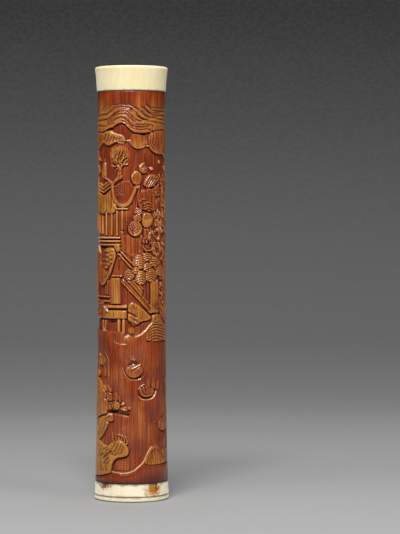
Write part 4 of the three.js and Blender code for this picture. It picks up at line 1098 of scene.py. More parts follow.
def raisedBank():
    # the bank keeps the skin of the culm; its upper edge is the bright line under the table, painted as a
    # highlight
    form([(-19, 82.7), (-15, 83.3), (-9.6, 83), (-5.2, 83), (-3.5, 81.3), (-2.4, 80.3), (-1, 81.1),
          (1.7, 80.4), (4, 80.9), (6.5, 82.8), (8.6, 85), (10.6, 86.9), (12.1, 83.7), (14, 79.3),
          (18.7, 78.8), (18.7, 69.1), (-19, 69.1)], (0, -0.656), (0.02, 0.3), gutter=0.0, rim=0.0)
    # painted highlights along the bank's edge and the arc above it
    ridge([(-2.6, 80.4), (-1.7, 81.1)], 1.1, 0.9, 0.0, 2.8, gutter=0.0, rim=0.3)
    ridge([(1.7, 80.7), (4, 81.2), (6.5, 83.1), (8.6, 85.3), (10.4, 87)], 0.4, 0.75, 0.0, 1.9, gutter=0.0,
          rim=0.3)
    ridge([(-8.8, 78.1), (-6.6, 77.2), (-4.4, 76.8), (-2.4, 76.9)], 0.3, 0.5, 0.0, 1.6, gutter=0.15, rim=0.3)
    form([(10.1, 87.2), (9.1, 84.7), (7.6, 81.4), (7.9, 78.6), (13.1, 78.1), (18.7, 78.8), (18.7, 83.7),
          (15.5, 87.6), (14.5, 90.5), (12.6, 91.7), (10.6, 90)], -0.05, gutter=0.4)
    for i in range(6):
        z = 86.3 - 1.38 * i
        cut([(7.9 + 0.25 * (5 - i), z - 1.5), (11.6, z), (15.0, z - 0.7), (17.5, z - 1.6)], 0.32, 0.75,
            darken=0.5)
    oval(12.4, 89.5, 4.2, 4.2, level=0.02, colour=0.85, rim=0.4)
    cutLines([[(11.4, 89), (12.1, 88.3)], [(13.1, 90), (13.7, 89)]], 0.26, 0.35)


def reedHollows():
    # pointed hollow with a leaf in it, at the edge of the pond
    form([(-17.5, 60.3), (-17.5, 67.2), (-16.8, 71), (-15.2, 72.9), (-13.2, 72.5), (-11.9, 69.9),
          (-11.6, 66.2), (-11.8, 60.8)], (-0.6, -1.2), 0.2, gutter=0.0, rim=0.0, edge=0.35)
    form([(-16.3, 66.9), (-16.1, 69.8), (-14.7, 71.6), (-13.5, 70.3), (-13.2, 68.1), (-14.5, 66.3)], -0.3,
         0.75, gutter=0.3)
    # the hollow's bright right edge and upper tip, painted as highlights
    ridge([(-13.1, 72.2), (-11.8, 69.8), (-11.4, 66.2), (-11.6, 61)], 0.45, 0.35, -0.02, 1.35, gutter=0.35)
    ridge([(-16.8, 73.2), (-16, 72.4), (-15.6, 71)], 0.8, 0.5, -0.02, 2.2, gutter=0.3)
    ridges([[(-14.2, 66.2), (-13.5, 63.8), (-13.7, 60.8)]], 0.7, 0.5, -0.5, 0.5)
    cut([(-15.4, 66.2), (-15.1, 64.4)], 0.5, 0.7)


def lotusBowl():
    # leaf in a sunk round, with a bud above it
    form([(-4.9, 66.2), (-4.4, 63), (-2.4, 60.6), (0.2, 59.6), (3.7, 59.7), (6.2, 61.2), (7.6, 64.2),
          (6.5, 68.6), (3.7, 70.8), (-0.2, 71.5), (-3.4, 69.6)], (-0.62, -1.25), (0.35, 0.1), gutter=0.0,
         rim=0.0, edge=0.35)
    # the round's lower rim, pale as a painted highlight
    ridge([(-4.7, 65.7), (-3.8, 63), (-2.1, 60.8), (0, 59.7), (2.7, 59.6)], 0.35, 0.3, -0.4, 1.6, gutter=0.1)
    oval(0.9, 70.4, 3.6, 3.3, level=-0.25, colour=0.4, gutter=0.35, rim=0.3)
    cutLines([[(0.1, 70.3), (0.7, 71.1), (1.6, 70.8), (1.6, 69.8), (0.7, 69.5)]], 0.24, 0.34)
    form([(-3.1, 64), (-2.4, 65.7), (-0.7, 66.2), (0, 65), (1.4, 64.5), (4.4, 66.7), (5.6, 64.4), (4.8, 62.2),
          (2.6, 60.8), (0, 60.6), (-2.1, 61.7)], -0.3, 0.65, gutter=0.55)
    cut([(-0.9, 66.9), (0.7, 67.7), (2.5, 67.5)], 0.9, 0.9, darken=0.8)
    # painted highlight across the leaf
    ridge([(0.3, 64.9), (4.3, 67)], 0.8, 0.7, 0.0, 2.6, gutter=0.3)
    cut([(0, 64.4), (0, 60.9)], 0.24, 0.36)
    fibres((-2.4, 4.7), (61.3, 64.9), 8, 0.16, seed=59)


def lotusLeaves():
    # second leaf in its round, with three petals, and the long stem
    form([(2.9, 54), (3.6, 51), (6.5, 49.7), (9.9, 50.2), (12.2, 52.6), (12.6, 56), (10.1, 58.4), (6.2, 58.6),
          (3.8, 56.7)], (-0.62, -1.25), (0.35, 0.1), gutter=0.0, rim=0.0, edge=0.35)
    for points in ([(7.8, 56.5), (7.6, 59.4), (8.5, 60.6), (9.4, 58.9), (9.3, 55.8)],
                   [(9.9, 55.8), (10, 59.6), (11, 60.9), (11.8, 58.7), (11.5, 55.3)],
                   [(12, 55.3), (12.6, 58.9), (13.4, 59.9), (13.8, 56.9), (12.8, 54.5)]):
        form(points, -0.25, 0.6)
    form([(3.5, 55), (5.4, 56.9), (6.9, 57.3), (8.6, 56), (11.1, 55), (11, 52.8), (9.1, 51.3), (6.5, 51.1),
          (4.7, 52.2)], -0.35, 0.6, gutter=0.5)
    cutLines([[(4.9, 55.8), (5.9, 53.7)], [(6.4, 56.5), (7.3, 54)], [(5, 53.8), (7.1, 52.3), (9.9, 52.8)]],
             0.26, 0.34)
    # painted highlights on the leaf's edge and the round's rim
    ridge([(3.3, 54.9), (4.7, 56.5), (6.5, 57.4)], 0.5, 0.45, -0.1, 1.8)
    ridge([(3.2, 51.6), (4.9, 50.2), (7.4, 49.7), (10.1, 50.3), (11.6, 51.8), (12.3, 53.8)], 0.4, 0.6, -0.2,
          1.9, gutter=0.15)
    ridge([(0.5, 48.7), (0.5, 39.9), (0, 32.2), (0.3, 24.4)], 0.55, 0.5, -0.5, 0.45, gutter=0.15)
    # two short dashes painted pale as highlights
    ridges([[(6, 32.6), (8.6, 32.6)], [(6.5, 31.5), (7.8, 31.5)]], 0.4, level=-0.5, colour=2.0)


def leftRocks():
    # two tall rocks at the left edge
    form([(-19, 60.8), (-16.5, 60.2), (-14.5, 57.7), (-12.8, 54), (-12.1, 49.7), (-11.8, 45.3), (-12.3, 43),
          (-14.5, 42.1), (-15.8, 41.2), (-17.5, 39.5), (-19, 38.2)], 0.0, 0.95, gutter=0.6)
    cutLines([[(-14.5, 56.9), (-13.1, 52.1), (-12.6, 44.8)], [(-15.8, 58.1), (-14.1, 52.1), (-13.6, 43.5)],
              [(-16.8, 56.5), (-15.5, 50.6), (-15, 42.6)], [(-17.5, 54.5), (-16.7, 48.7), (-16.3, 41.9)]],
             0.28, 0.36)
    form([(-19, 37.7), (-15.8, 40.5), (-13.3, 41.7), (-11.7, 40.6), (-11.5, 38), (-12.8, 34.6), (-14.3, 31.7),
          (-16.1, 29.4), (-19, 27.3)], -0.05, 0.95, gutter=0.6)
    cutLines([[(-12.9, 40.6), (-12.9, 37.5), (-14.8, 32.6)], [(-14.3, 40.2), (-14.8, 36), (-16.3, 31.7)],
              [(-15.7, 39.2), (-16.5, 34.6)]], 0.28, 0.36)


def flowerSpray():
    # flowers and buds that lean out of the rocks
    for points, colour in (
            ([(-14.2, 57.2), (-13, 56.6), (-11.8, 54.2), (-12.9, 53.6), (-13.9, 55.3)], 0.7),
            ([(-12.3, 57.1), (-10.8, 56.5), (-9.7, 54), (-10.8, 53.6), (-12, 55.2)], 0.6),
            ([(-12.5, 53.1), (-11.4, 53.8), (-10.2, 52.4), (-9.6, 49.8), (-10.9, 49.1), (-12.1, 50.7)], 0.65),
            ([(-9.3, 51.3), (-8.4, 53.3), (-7.1, 53.2), (-6.4, 51.1), (-6.9, 49.3), (-8.6, 49.4)], 0.5),
            ([(-6.6, 52.6), (-5.7, 50.6), (-5.5, 48.7), (-6.3, 48.9)], 0.6),
            ([(-11.3, 47.9), (-10.3, 48.7), (-9.8, 46.9), (-10.1, 45), (-11.3, 45.5)], 0.6),
            ([(-5.8, 47.6), (-4.9, 48.7), (-3.4, 48.3), (-3.5, 47.2), (-5, 46.8)], 0.65),
            ([(-5.6, 46), (-4, 46.8), (-2.1, 46.3), (-1.8, 44.9), (-3.3, 44), (-5, 44.4)], 0.6),
            ([(-2, 46.1), (-1, 46.8), (-0.4, 45.5), (-1.2, 44.7)], 0.6),
            ([(-13.7, 53.5), (-12.8, 52.9), (-12.5, 50.6), (-13.3, 50.9)], 0.6)):
        form(points, 0.0, colour, gutter=0.65, rim=0.4)
    cutLines([[(-11.6, 52.9), (-10.4, 50.2)], [(-8.3, 52.3), (-7.8, 49.9)], [(-4.4, 45.8), (-2.6, 45.2)]],
             0.26, 0.35)
    form([(-9.8, 47.3), (-9.1, 48.8), (-7.6, 49.1), (-6.1, 48.2), (-6, 46.3), (-6.8, 45.1), (-8.4, 45.2),
          (-9.6, 45.9)], 0.02, 1.0, gutter=0.6, rim=0.4)
    cutLines([[(-8.8, 48.2), (-8.5, 47.2)], [(-7.7, 48.4), (-7.6, 47.3)], [(-6.7, 48), (-6.9, 47)],
              [(-8.9, 45.7), (-8.6, 46.5)], [(-7.8, 45.4), (-7.7, 46.3)], [(-6.9, 45.6), (-7, 46.4)]], 0.24,
             0.34)
    cut([(-11.8, 43.8), (-6.9, 43.9), (-1.9, 43)], 0.8, 1.3, darken=0.9)
    for i in range(9):
        ridge([(-7.8 + 0.72 * i, 44.6 - 0.1 * i), (-7.7 + 0.72 * i, 43.7 - 0.1 * i)], 0.4, 0.3, -0.3, 1.1,
              gutter=0.5)
    slit([(-11.7, 43.8), (-9.6, 44), (-6.9, 43.8)], 1.0)
    form([(-12.3, 42.4), (-11.1, 43.4), (-9.5, 42.6), (-9, 40.1), (-10.1, 38.9), (-11.8, 39.1),
          (-12.5, 40.6)], 0.0, 0.55, gutter=0.6, rim=0.45)
    cutLines([[(-11.5, 41.2), (-10.3, 41.6), (-9.6, 40.4)]], 0.27, 0.38)
    # painted highlight on the bud's upper edge
    ridge([(-12.1, 41.8), (-11.2, 42.8), (-9.8, 42.5)], 0.7, 0.5, 0.02, 2.4, gutter=0.0, rim=0.2)


def deepPool():
    # the pool is cut down to a sharp shoreline, along which a pale highlight is painted
    form([(-10.3, 15.1), (-7.6, 14.9), (-4.7, 14.5), (-1.7, 14.9), (0.7, 15.8), (3, 17.6), (5.2, 19.6),
          (6.6, 22.2), (8.1, 25.6), (10.1, 27.6), (13.1, 29.7), (17, 32.2), (18.7, 35.1), (9.1, 38),
          (-1.7, 38), (-9.6, 33.1), (-12.6, 25.4)], (-0.6, -1.25), 0.3, gutter=0.0, rim=0.0)
    form([(-8.5, 15.9), (-7.7, 18.7), (-5.7, 20.8), (-2, 21.3), (-1.9, 15.7)], -1.0, 0.6, smooth=False,
         gutter=0.1)
    hatch(-4.9, 18.4, 5.0, 4.4, 4, 0, 0.16)
    for i in range(14):
        x = 1.2 + 0.36 * i
        cut([(x, 18.6 + 0.28 * i), (x + 0.1, 19.3 + 0.3 * i)], 0.14, 0.15, darken=0.15)
    form([(-19, 13.2), (-13.5, 13.7), (-10.1, 14.3), (-7.6, 14.2), (-4.7, 13.8), (-1.7, 14.2), (1, 15.2),
          (3.4, 17), (5.6, 19), (7.1, 18.4), (16.5, 18.2), (18.7, 18.6), (18.7, 5.9), (-19, 5.9)], (0, -0.05),
         0.1, gutter=0.0, rim=0.3)
    # the shoreline's painted highlight
    ridge([(-9.8, 14.8), (-7.6, 14.5), (-4.7, 14.1), (-1.7, 14.5), (0.9, 15.4), (3.2, 17.2), (5.4, 19.2),
           (6.8, 21.8), (8.2, 24.9), (9.9, 27)], 0.4, 0.45, 0.0, 2.1, gutter=0.1, rim=0.3)


def lowerRocks():
    # low rock with tufts of grass on it
    form([(-19, 29.7), (-16, 29.7), (-14, 28.3), (-11.9, 27.4), (-10.3, 28.7), (-8.3, 29.9), (-6.2, 30.5),
          (-3.8, 29.5), (-2.3, 27.5), (-1.4, 25.4), (-1.9, 23.1), (-3.9, 22.1), (-6.5, 21.6), (-8.4, 20.2),
          (-9.6, 17.9), (-10.1, 15.2), (-11.1, 13.7), (-19, 13)], 0.0, 1.12, gutter=0.75)
    cutLines([[(-13.5, 21), (-12.6, 22.6), (-10.9, 23.9), (-9.4, 24.7)],
              [(-13.3, 18.4), (-12.5, 20.1), (-11.1, 21.5)], [(-15, 22), (-13.7, 23.3)]], 0.36, 0.55)
    cutLines([[(-16.5, 27.3), (-15, 25.4), (-15.7, 22.4), (-16.5, 19.5)], [(-14.8, 27.1), (-13.6, 25.1)],
              [(-13.1, 25.6), (-11.6, 26.5)], [(-12.4, 24.6), (-10.7, 25.6)],
              [(-10.8, 24.2), (-9.2, 26.4), (-8, 29)], [(-9.4, 23.2), (-7.6, 25.8), (-6.4, 29.2)],
              [(-7.8, 22.9), (-6.2, 25.4), (-4.9, 28.6)], [(-6.2, 23), (-4.8, 25), (-3.7, 27.4)],
              [(-11.6, 22.6), (-9.8, 23.4), (-8.2, 22.8)], [(-14.7, 20.5), (-14.6, 17.6), (-13.5, 15.2)],
              [(-16.2, 18.1), (-15.7, 15.2)], [(-12.5, 17.1), (-11.8, 14.9)], [(-11.2, 19.5), (-10.4, 20.5)],
              [(-12.2, 18.1), (-11.2, 19.1)], [(-12.8, 21.8), (-11.8, 22.5)]], 0.27, 0.36)
    ridges([[(-9.1, 29.7), (-9.4, 32.2), (-9.2, 34.1)], [(-7.7, 30.2), (-7.6, 31.9), (-8, 33.4)],
            [(-6.2, 30.4), (-6.6, 32.2), (-6.2, 33.7)], [(-4.9, 30.2), (-4.9, 31.8), (-5.5, 33.2)],
            [(-3.5, 29.4), (-3.8, 31.2), (-4.8, 32.6)], [(-2.4, 28.3), (-2.5, 30.4), (-3.4, 32)]], 0.7, 0.45,
           -0.15, 1.0, gutter=0.5)
    bead(-6.3, 32.9, 1.4, -0.1, 0.8)


def mistMounds():
    # mounds at the right of the pool
    form([(6.4, 18.7), (7.4, 22.2), (8.9, 25.5), (10.6, 27.2), (12.4, 27.5), (13.8, 25.4), (15.2, 22),
          (16.4, 18.7), (11.6, 18)], 0.0, 0.82, gutter=0.35, rim=0.35)
    for i in range(9):
        off = i - 4
        head = (11.6 + 0.5 * off, 26.6 - 0.42 * abs(off) - 0.5 * (i % 2))
        foot = (11.6 + 1.08 * off, 18.5 + 0.3 * (i % 2))
        cut([head, ((foot[0] + head[0]) / 2 + 0.06 * off, (foot[1] + head[1]) / 2), foot], 0.27, 0.7,
            darken=0.45)
    form([(14.3, 23.9), (15.7, 26.1), (17, 25.6), (18.7, 24.4), (18.7, 18.7), (16.5, 18.8)], -0.1, 0.75)
    cutLines([[(15.8, 24.9), (16.3, 19.5)], [(16.8, 24.6), (17.7, 20)]], 0.26, 0.36)
    oval(15.2, 37.3, 4.2, 6.4, 6, -0.15, 0.75, gutter=0.5)
    cutLines([[(14.3, 35.6), (14.2, 38.5), (15.5, 39.5), (16.5, 38), (16, 35.6)]], 0.27, 0.4)
    ridge([(11.6, 38.4), (13.5, 40), (15.5, 42.4), (17.2, 45.8)], 0.75, 0.6, -0.3, 0.6, gutter=0.4)
    fibres((8.6, 15), (34.1, 47.7), 9, 0.24, seed=61)


groundPatches = [
    (-13, 168, 4, 6, -0.35), (-3, 159.5, 3, 5, 0.2), (2, 170, 4, 4, -0.25), (9, 168, 4, 5, 0.35),
    (4, 151, 3, 5, 0.25), (-4, 57, 3.5, 8, 0.45), (5, 43, 4, 6, 0.35), (-4.5, 38, 4, 4, -0.3),
    (8, 33, 6, 3.5, -0.35), (11.5, 46, 5, 4, -0.3), (2, 75, 5, 3, -0.25), (12, 66, 5, 7, 0.3),
    (-8, 66, 3, 7, 0.2), (1, 27, 4, 4, 0.3),
]


def groundStain():
    patches(groundPatches)


gardenMotifs = [
    groundStain, plainPanels, cloudLobes, barkWall, bareTree, eavesRoof, slatScreen, curvedEave, seedHeads,
    beams, berryBranch, barkGlints, gardenRail, pineTufts, stoneTable, waterLedge, raisedBank, reedHollows,
    lotusBowl, lotusLeaves, deepPool, leftRocks, flowerSpray, lowerRocks, mistMounds,
]


# Lower edge of the main stream of cloud, as angle round the tube and height; the back mirrors the front
stream = {"soften": 1.2, "top": 193.4, "fade": 1.6, "bandTone": 0.08, "cloudTone": 0.7}
streamEdge = [
    (-77, 180.4), (-56, 180), (-46, 181.2), (-35, 181.8), (-29, 183), (-23, 183.9), (-17, 184.2),
    (-11, 183.5), (-6, 181.9), (-1, 180.5), (4, 179.6), (11, 179.3), (25, 179.3), (35, 179.8), (48, 180.9),
    (67, 181.4),
]


def roundTheTube(guide):
    # the guide and its mirror image behind, as one closed line over all columns
    angles = [a for a, _ in guide] + [180 - a for a, _ in reversed(guide)]
    heights = [z for _, z in guide] + [z for _, z in reversed(guide)]
    angles = np.array([angles[-1] - 360] + angles + [angles[0] + 360], float)
    heights = np.array([heights[-1]] + heights + [heights[0]], float)
    across = np.degrees(np.arange(columns) * stepAcross / faceRadius)
    across = np.where(across > angles[-2], across - 360, across)
    steps = np.interp(across, angles, heights)
    for _ in range(int(stream["soften"] / stepAcross) + 1):
        steps = (np.roll(steps, 1) + 2 * steps + np.roll(steps, -1)) / 4
    return steps


def cloudStream():
    # the stream keeps the skin of the culm up to the plain band, which it leaves with a soft border
    where = np.ix_(np.arange(rows + 1), np.arange(columns))
    inside = press(roundTheTube(streamEdge) - upOfRows, where, 0.0, 0.62, gutter=0.65, rim=0.3)
    fadeTop = np.clip((stream["top"] - upOfRows) / stream["fade"], 0, 1)
    toneAndPaintedGlint[:] = toneAndPaintedGlint * (1 - inside) + (stream["bandTone"] + stream["cloudTone"] * fadeTop) * inside
    drawAt(0, 1, streamCuts)
    drawAt(180, -1, streamCuts)


def flankPine():
    # old pine on the right flank, between the two views
    trunk = [(0.6, 18), (-0.8, 34), (0.9, 52), (-0.6, 70), (0.8, 90), (-0.9, 108), (0.5, 126), (-0.4, 146),
             (0.6, 164)]
    ridge(trunk, 4.4, 2.0, -0.1, 0.55, gutter=0.6, rim=0.35)
    draw = np.random.default_rng(71)
    for i in range(30):
        x, z = draw.uniform(-1.2, 1.2), 22 + 4.6 * i
        cut([(x - 0.6, z), (x, z + 0.7), (x + 0.6, z)], 0.26, 0.4)
    for x, z, reach, size in (
            (-1, 58, -4.6, 4.4), (1, 76, 4.8, 4.6), (-1, 98, -4.6, 4.2), (1, 116, 4.4, 4.4),
            (-1, 134, -4.4, 4.6), (1, 148, 4.2, 4.4), (0, 164, 0.6, 5.4)):
        ridge([(x * 0.8, z - 2.6), (reach * 0.6, z - 0.8), (reach, z)], 1.2, 0.8, -0.15, 0.55)
        coneFan(reach, z + 1.6, size, size * 0.8, 5, -6 * x, 0.0, 0.6)


def flankPost():
    # corner of the pavilion on the left flank
    for half, inner, low, high, colour, gutter in (
            (1.7, 1.0, 131.5, 141, 0.9, 0.5), (2.2, 1.4, 96.5, 123, 0.95, 0.55)):
        form([(-half, low), (half, low), (half, high), (-half, high)], 0.0, colour, smooth=False, rim=0.16,
             gutter=gutter)
        cutLines([[(x, low + 0.5), (x, high - 0.4)] for x in (-inner, inner)], 0.2, 0.22)


bambooStems = [
    ([(-4.6, 131), (-3.4, 143), (-2.6, 152), (-3.6, 161), (-2.2, 170), (-3, 176)], 1.5),
    ([(0.8, 142), (1.9, 150), (3, 158), (2.2, 166), (3.4, 172)], 1.2),
]
# where each blade starts, which way it points and how long it is
bambooBlades = [
    (-2.8, 173, 205, 6), (-2.6, 171, 238, 5.2), (-2.4, 170, -40, 5), (-2.6, 174, 20, 4.6),
    (-3.2, 166, 190, 6.5), (-3.6, 163, 222, 6.8), (-3.4, 161, 172, 5.6), (-3, 157, -35, 4.4),
    (-3, 155, 205, 6.2), (-2.8, 152, 240, 5.6), (-3.2, 147, 195, 6.4), (-3.4, 145, -50, 5),
    (-5.6, 166, 250, 6.4), (-6.6, 163, 215, 5.6), (-5.8, 159, 275, 6), (2.6, 168, -25, 4.6),
    (2.4, 165, -62, 5.4), (2.8, 160, 15, 3.8), (2.6, 156, -75, 5.8), (1.8, 151, 230, 4.4),
    (-4.2, 138, 225, 5.6), (-4, 140, 170, 5.2),
]


def flankBamboo():
    # bamboo that grows past the pavilion's corner, more of it on one side
    for line, width in bambooStems:
        ridge(line, width, width * 0.6, -0.1, 0.8, gutter=0.6)
        for x, z in line[1:-1]:
            cut([(x - width * 0.5, z), (x + width * 0.5, z)], 0.26, 0.6, darken=0.5)
    for x, z, tilt, length in bambooBlades:
        blade = [(0, 0), (length * 0.28, 0.85), (length * 0.65, 0.6), (length, 0), (length * 0.6, -0.6),
                 (length * 0.25, -0.75)]
        form(placed(blade, x, z, tilt), 0.0, 0.85, gutter=0.6, rim=0.3)
        cut(placed([(0.3, 0), (length * 0.8, 0.05)], x, z, tilt), 0.2, 0.3, darken=0.3)
    # young pine on the rock below
    ridge([(1.4, 44), (-0.8, 52), (1, 59), (-1, 66), (0.4, 71)], 2.2, 0.9, -0.05, 0.6, gutter=0.6)
    for x, z, size, tilt in (
            (-3.8, 58, 4.8, 12), (3.9, 62.5, 4.4, -14), (-3.4, 67.5, 4.2, 10), (1, 72.5, 4.6, -4)):
        ridge([(x * 0.2, z - 3.0), (x, z - 0.6)], 0.9, 0.6, -0.1, 0.6)
        coneFan(x, z, size, size * 0.85, 4, tilt, 0.0, 0.9)


def flankGround():
    # plain ground between the two views, with upright fibres
    fibres((-5, 5), (30, 176), 16, 0.3, seed=73)


def softened(field, passes):
    for _ in range(passes):
        field = (field + np.roll(field, 1, 1) + np.roll(field, -1, 1)) / 3
        padded = np.vstack([field[:1], field, field[-1:]])
        field = (padded[:-2] + padded[1:-1] + padded[2:]) / 3
    return field


def crestAt(height):
    fall = (tubeTop - height) / (tubeTop - tubeBase)
    return fit["crestTop"] + fit["taper"] * fall + fit["rootFlare"] * fall ** fit["rootPower"]


def carveFace():
    pond = np.clip((carving["pondTop"] - upOfRows) / carving["pondFade"], 0, 1)
    relief[:] = carving["ground"] * (1 - pond) + carving["pond"] * pond
    toneAndPaintedGlint[:] = carving["groundTone"] + carving["pondTone"] * pond
    drawAt(90, 1, flankGround)
    drawAt(-90, 1, flankGround)
    drawAt(0, 1, *gardenMotifs)
    drawAt(180, -1, *gardenMotifs)
    drawAt(90, 1, flankPine)
    drawAt(-90, 1, flankPost, flankBamboo)
    cloudStream()
    soft = carving["softShare"]
    relief[:] = np.minimum(softened(relief, 1) * soft + relief * (1 - soft), 0.0)
    # the tube's two ends are eased over
    toEnd = np.minimum(upOfRows - tubeBase, tubeTop - upOfRows)
    relief[:] -= carving["endDepth"] * np.clip(1 - toEnd / carving["endReach"], 0, 1) ** 2
    print("face carved:", rows, "by", columns)


def wrapTube():
    # outer face and bore share one grid, so the smoke slits run straight through
    cells = [opening, np.roll(opening, -1, 1)]
    kept = (cells[0][:-1] + cells[0][1:] + cells[1][:-1] + cells[1][1:]) / 4 > 0
    slopeAcross = (np.roll(opening, -1, 1) - np.roll(opening, 1, 1)) / (2 * stepAcross)
    slopeUp = np.gradient(opening, stepUp, axis=0)
    steep = np.maximum(np.hypot(slopeAcross, slopeUp), carving["slitSlope"]) ** 2
    # a point that only some of its four cells keep is on the border of a slit and moves onto it
    touches = np.zeros_like(relief)
    for first in (0, 1):
        for left in (0, 1):
            touches[first:rows + first] += np.roll(kept, left, 1)
    touches[[0, -1]] *= 2
    border = (touches > 0) & (touches < 4) & (np.abs(opening) < carving["slitBorder"])
    moved = np.where(border, -opening / steep, 0.0)
    theta = (np.arange(columns) * stepAcross + moved * slopeAcross) / faceRadius
    z = upOfRows + moved * slopeUp
    outer, inner = (np.stack([radius * np.sin(theta), -radius * np.cos(theta), z], -1).reshape(-1, 3)
                    for radius in (crestAt(z) + relief, fit["bore"]))
    index = np.arange((rows + 1) * columns).reshape(rows + 1, columns)
    nextIndex = np.roll(index, -1, 1)
    a, b, c, d = index[:-1], nextIndex[:-1], nextIndex[1:], index[1:]
    total = index.size
    faces = [np.stack([a, b, c, d], -1)[kept], np.stack([d, c, b, a], -1)[kept] + total]
    gone = ~kept
    missing = {
        "below": np.vstack([np.ones((1, columns), bool), gone[:-1]]),
        "above": np.vstack([gone[1:], np.ones((1, columns), bool)]),
        "right": np.roll(gone, -1, 1), "left": np.roll(gone, 1, 1),
    }
    for side, first, second in (("below", a, b), ("right", b, c), ("above", c, d), ("left", d, a)):
        where = kept & missing[side]
        faces.append(np.stack([second[where], first[where], first[where] + total, second[where] + total], -1))
    quads = np.concatenate(faces)
    used, compact = np.unique(quads, return_inverse=True)
    points = np.concatenate([outer, inner])[used] * mm
    quads = compact.reshape(-1, 4)
    mesh = bpy.data.meshes.new("carvedCulm")
    mesh.vertices.add(len(points))
    mesh.vertices.foreach_set("co", points.ravel())
    mesh.loops.add(quads.size)
    mesh.loops.foreach_set("vertex_index", quads.ravel().astype(np.int32))
    mesh.polygons.add(len(quads))
    mesh.polygons.foreach_set("loop_start", np.arange(0, quads.size, 4, dtype=np.int32))
    mesh.update(calc_edges=True)
    mesh.validate()
    print("tube wrapped:", len(quads), "quads")
    return mesh


def thinned(mesh, limit):
    # keeps small triangles where the carving is fine and large ones where it is plain
    raw = bpy.data.objects.new("culmRaw", mesh)
    bpy.context.collection.objects.link(raw)
    modifier = raw.modifiers.new("thin", "DECIMATE")
    modifier.ratio = min(1.0, limit / (2 * len(mesh.polygons)))
    made = bpy.data.meshes.new_from_object(raw.evaluated_get(bpy.context.evaluated_depsgraph_get()))
    bpy.data.objects.remove(raw)
    bpy.data.meshes.remove(mesh)
    print("tube thinned:", len(made.polygons), "faces")
    return made


def sampleField(field, theta, height):
    column = (theta * faceRadius / stepAcross) % columns
    row = np.clip((height - tubeBase) / stepUp, 0, rows)
    c0, r0 = np.floor(column).astype(int), np.floor(row).astype(int)
    c1, r1 = (c0 + 1) % columns, np.minimum(r0 + 1, rows)
    fc, fr = column - c0, row - r0
    c0 %= columns
    return ((field[r0, c0] * (1 - fc) + field[r0, c1] * fc) * (1 - fr)
            + (field[r1, c0] * (1 - fc) + field[r1, c1] * fc) * fr)


# Dirt and painted shade darken the hollows and the tube's two ends, and convex edges are lightened, partly as
# a painted highlight; the bore is plain
wearAndPaintedLight = {
    "around": 12, "depth": 0.45, "endShare": 1.5, "endReach": 0.7, "footSpread": 0.65,
    "topSpread": 1.6, "bore": {"toneAndPaintedGlint": 0.05, "hollow": 0.3}, "wall": 0.8,
}


def paintAttributes(mesh):
    co = np.empty(len(mesh.vertices) * 3)
    mesh.vertices.foreach_get("co", co)
    co = co.reshape(-1, 3) / mm
    theta = np.arctan2(co[:, 0], -co[:, 1])
    outside = np.hypot(co[:, 0], co[:, 1]) > fit["bore"] + wearAndPaintedLight["wall"]
    toEnd = np.minimum((upOfRows - tubeBase) * wearAndPaintedLight["footSpread"], (tubeTop - upOfRows) * wearAndPaintedLight["topSpread"])
    hollow = ((softened(relief, wearAndPaintedLight["around"]) - relief) / wearAndPaintedLight["depth"]
              + wearAndPaintedLight["endShare"] * np.clip(1 - toEnd / wearAndPaintedLight["endReach"], 0, 1))
    for name, field in (("toneAndPaintedGlint", toneAndPaintedGlint), ("hollow", hollow)):
        values = np.where(outside, sampleField(field, theta, co[:, 2]), wearAndPaintedLight["bore"][name])
        layer = mesh.attributes.new(name, "FLOAT", "POINT")
        layer.data.foreach_set("value", values.astype(np.float32))


def carvedTube():
    carveFace()
    mesh = thinned(wrapTube(), carving["triangles"])
    paintAttributes(mesh)
    mesh.materials.clear()
    mesh.materials.append(bambooMaterial())
    mesh.shade_smooth()
    mesh.set_sharp_from_angle(angle=carving["smoothAngle"])
    piece = bpy.data.objects.new("carvedCulm", mesh)
    bpy.context.collection.objects.link(piece)
    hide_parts("bamboo_tube")
    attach(piece, "holder")
    print("carved tube made")


carvedTube()


# Studio: grey paper that sweeps up into the backdrop, painted darker on its way as painted shade, soft lamps
# at a plain level
studio = {
    "front": 1.4, "flat": 0.45, "bend": 0.9, "bendSteps": 24, "width": 4.4, "height": 2.4,
    "fleck": (0.3, 0.3, 0.3, 1.0), "shader": {"Roughness": 0.9, "Specular IOR Level": 0.1},
    # distance from the paper's front edge in metres, and how bright it is painted there; the fall towards the
    # back is painted shade
    "greysWithPaintedShade": [(0.0, 157), (1.38, 158), (1.47, 153), (1.6, 153), (1.8, 146), (1.985, 125), (2.1, 111),
              (2.2, 108), (2.31, 103), (2.41, 95), (2.51, 83), (2.6, 72), (2.67, 60), (3.6, 34)],
}


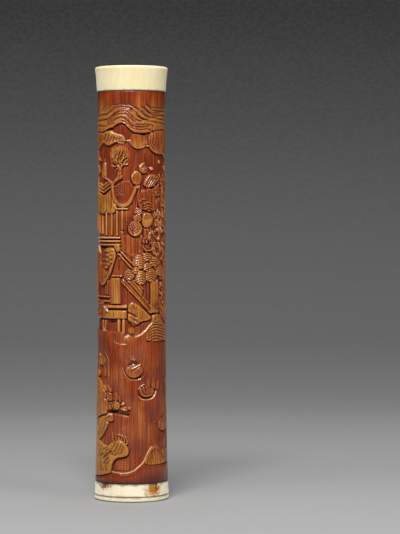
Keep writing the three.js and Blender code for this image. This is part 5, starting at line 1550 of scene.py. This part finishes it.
def makeStudio():
    points = [(-studio["front"], 0.0), (studio["flat"], 0.0)]
    for i in range(1, studio["bendSteps"] + 1):
        turn = math.pi / 2 * i / studio["bendSteps"]
        points.append((studio["flat"] + studio["bend"] * math.sin(turn),
                       studio["bend"] * (1 - math.cos(turn))))
    points.append((studio["flat"] + studio["bend"], studio["height"]))
    half = studio["width"] / 2
    verts = [(x, y, z) for y, z in points for x in (-half, half)]
    faces = [(2 * i, 2 * i + 1, 2 * i + 3, 2 * i + 2) for i in range(len(points) - 1)]
    mesh = bpy.data.meshes.new("paperSweep")
    mesh.from_pydata(verts, [], faces)
    mesh.shade_smooth()
    # how far each row of the paper lies from its front edge
    lengths = np.concatenate([[0], np.cumsum(np.hypot(*np.diff(np.array(points), axis=0).T))])
    run = mesh.attributes.new("run", "FLOAT", "POINT")
    run.data.foreach_set("value", np.repeat(lengths, 2).astype(np.float32))
    material, tree, shader, place = startMaterial("greyPaper", studio["shader"])
    along = addNode(tree, "ShaderNodeAttribute", attribute_name="run").outputs["Fac"]
    total = studio["greysWithPaintedShade"][-1][0]
    stops = [(far / total, linear(grey, grey, grey)) for far, grey in studio["greysWithPaintedShade"]]
    body = rampOf(tree, mathNode(tree, "DIVIDE", along, total), stops)
    fleck = span(tree, noise(tree, place, 260.0, 3.0), 0.35, 0.65, 0.0, 0.06)
    body = blendColour(tree, fleck, body, studio["fleck"])
    tree.links.new(body, shader.inputs["Base Color"])
    mesh.materials.append(material)
    sweep = bpy.data.objects.new("paperSweep", mesh)
    bpy.context.collection.objects.link(sweep)


lamps = {
    "key": {"place": (-0.12, -0.72, 1.1), "size": (0.5, 0.3), "power": 17.2, "mirrored": True},
    "right": {"place": (0.9, -0.75, 0.35), "size": (0.5, 0.9), "power": 6.0, "mirrored": False},
    "left": {"place": (-0.85, -0.85, 0.35), "size": (0.5, 0.9), "power": 4.8, "mirrored": False},
    "back": {"place": (0.1, 0.3, 1.5), "size": (0.9, 0.9), "power": 6.0, "mirrored": True},
}


lampAim = Vector((0, 0, 0.11))
roomGlow = {"Color": (1.0, 1.0, 1.0, 1.0), "Strength": 0.06}


def makeLamps():
    for name, lamp in lamps.items():
        light = bpy.data.lights.new(name + "Lamp", "AREA")
        light.shape = "RECTANGLE"
        light.size, light.size_y = lamp["size"]
        light.energy = lamp["power"]
        holder = bpy.data.objects.new(name + "Lamp", light)
        holder.location = lamp["place"]
        holder.rotation_mode = "QUATERNION"
        holder.rotation_quaternion = (lampAim - holder.location).to_track_quat("-Z", "Y")
        bpy.context.collection.objects.link(holder)
        holder.visible_glossy = lamp["mirrored"]
    world = bpy.data.worlds.new("softRoom")
    world.use_nodes = True
    for label, value in roomGlow.items():
        world.node_tree.nodes["Background"].inputs[label].default_value = value
    bpy.context.scene.world = world


makeStudio()
makeLamps()
bpy.context.scene.view_settings.view_transform = "Standard"
print("studio made")
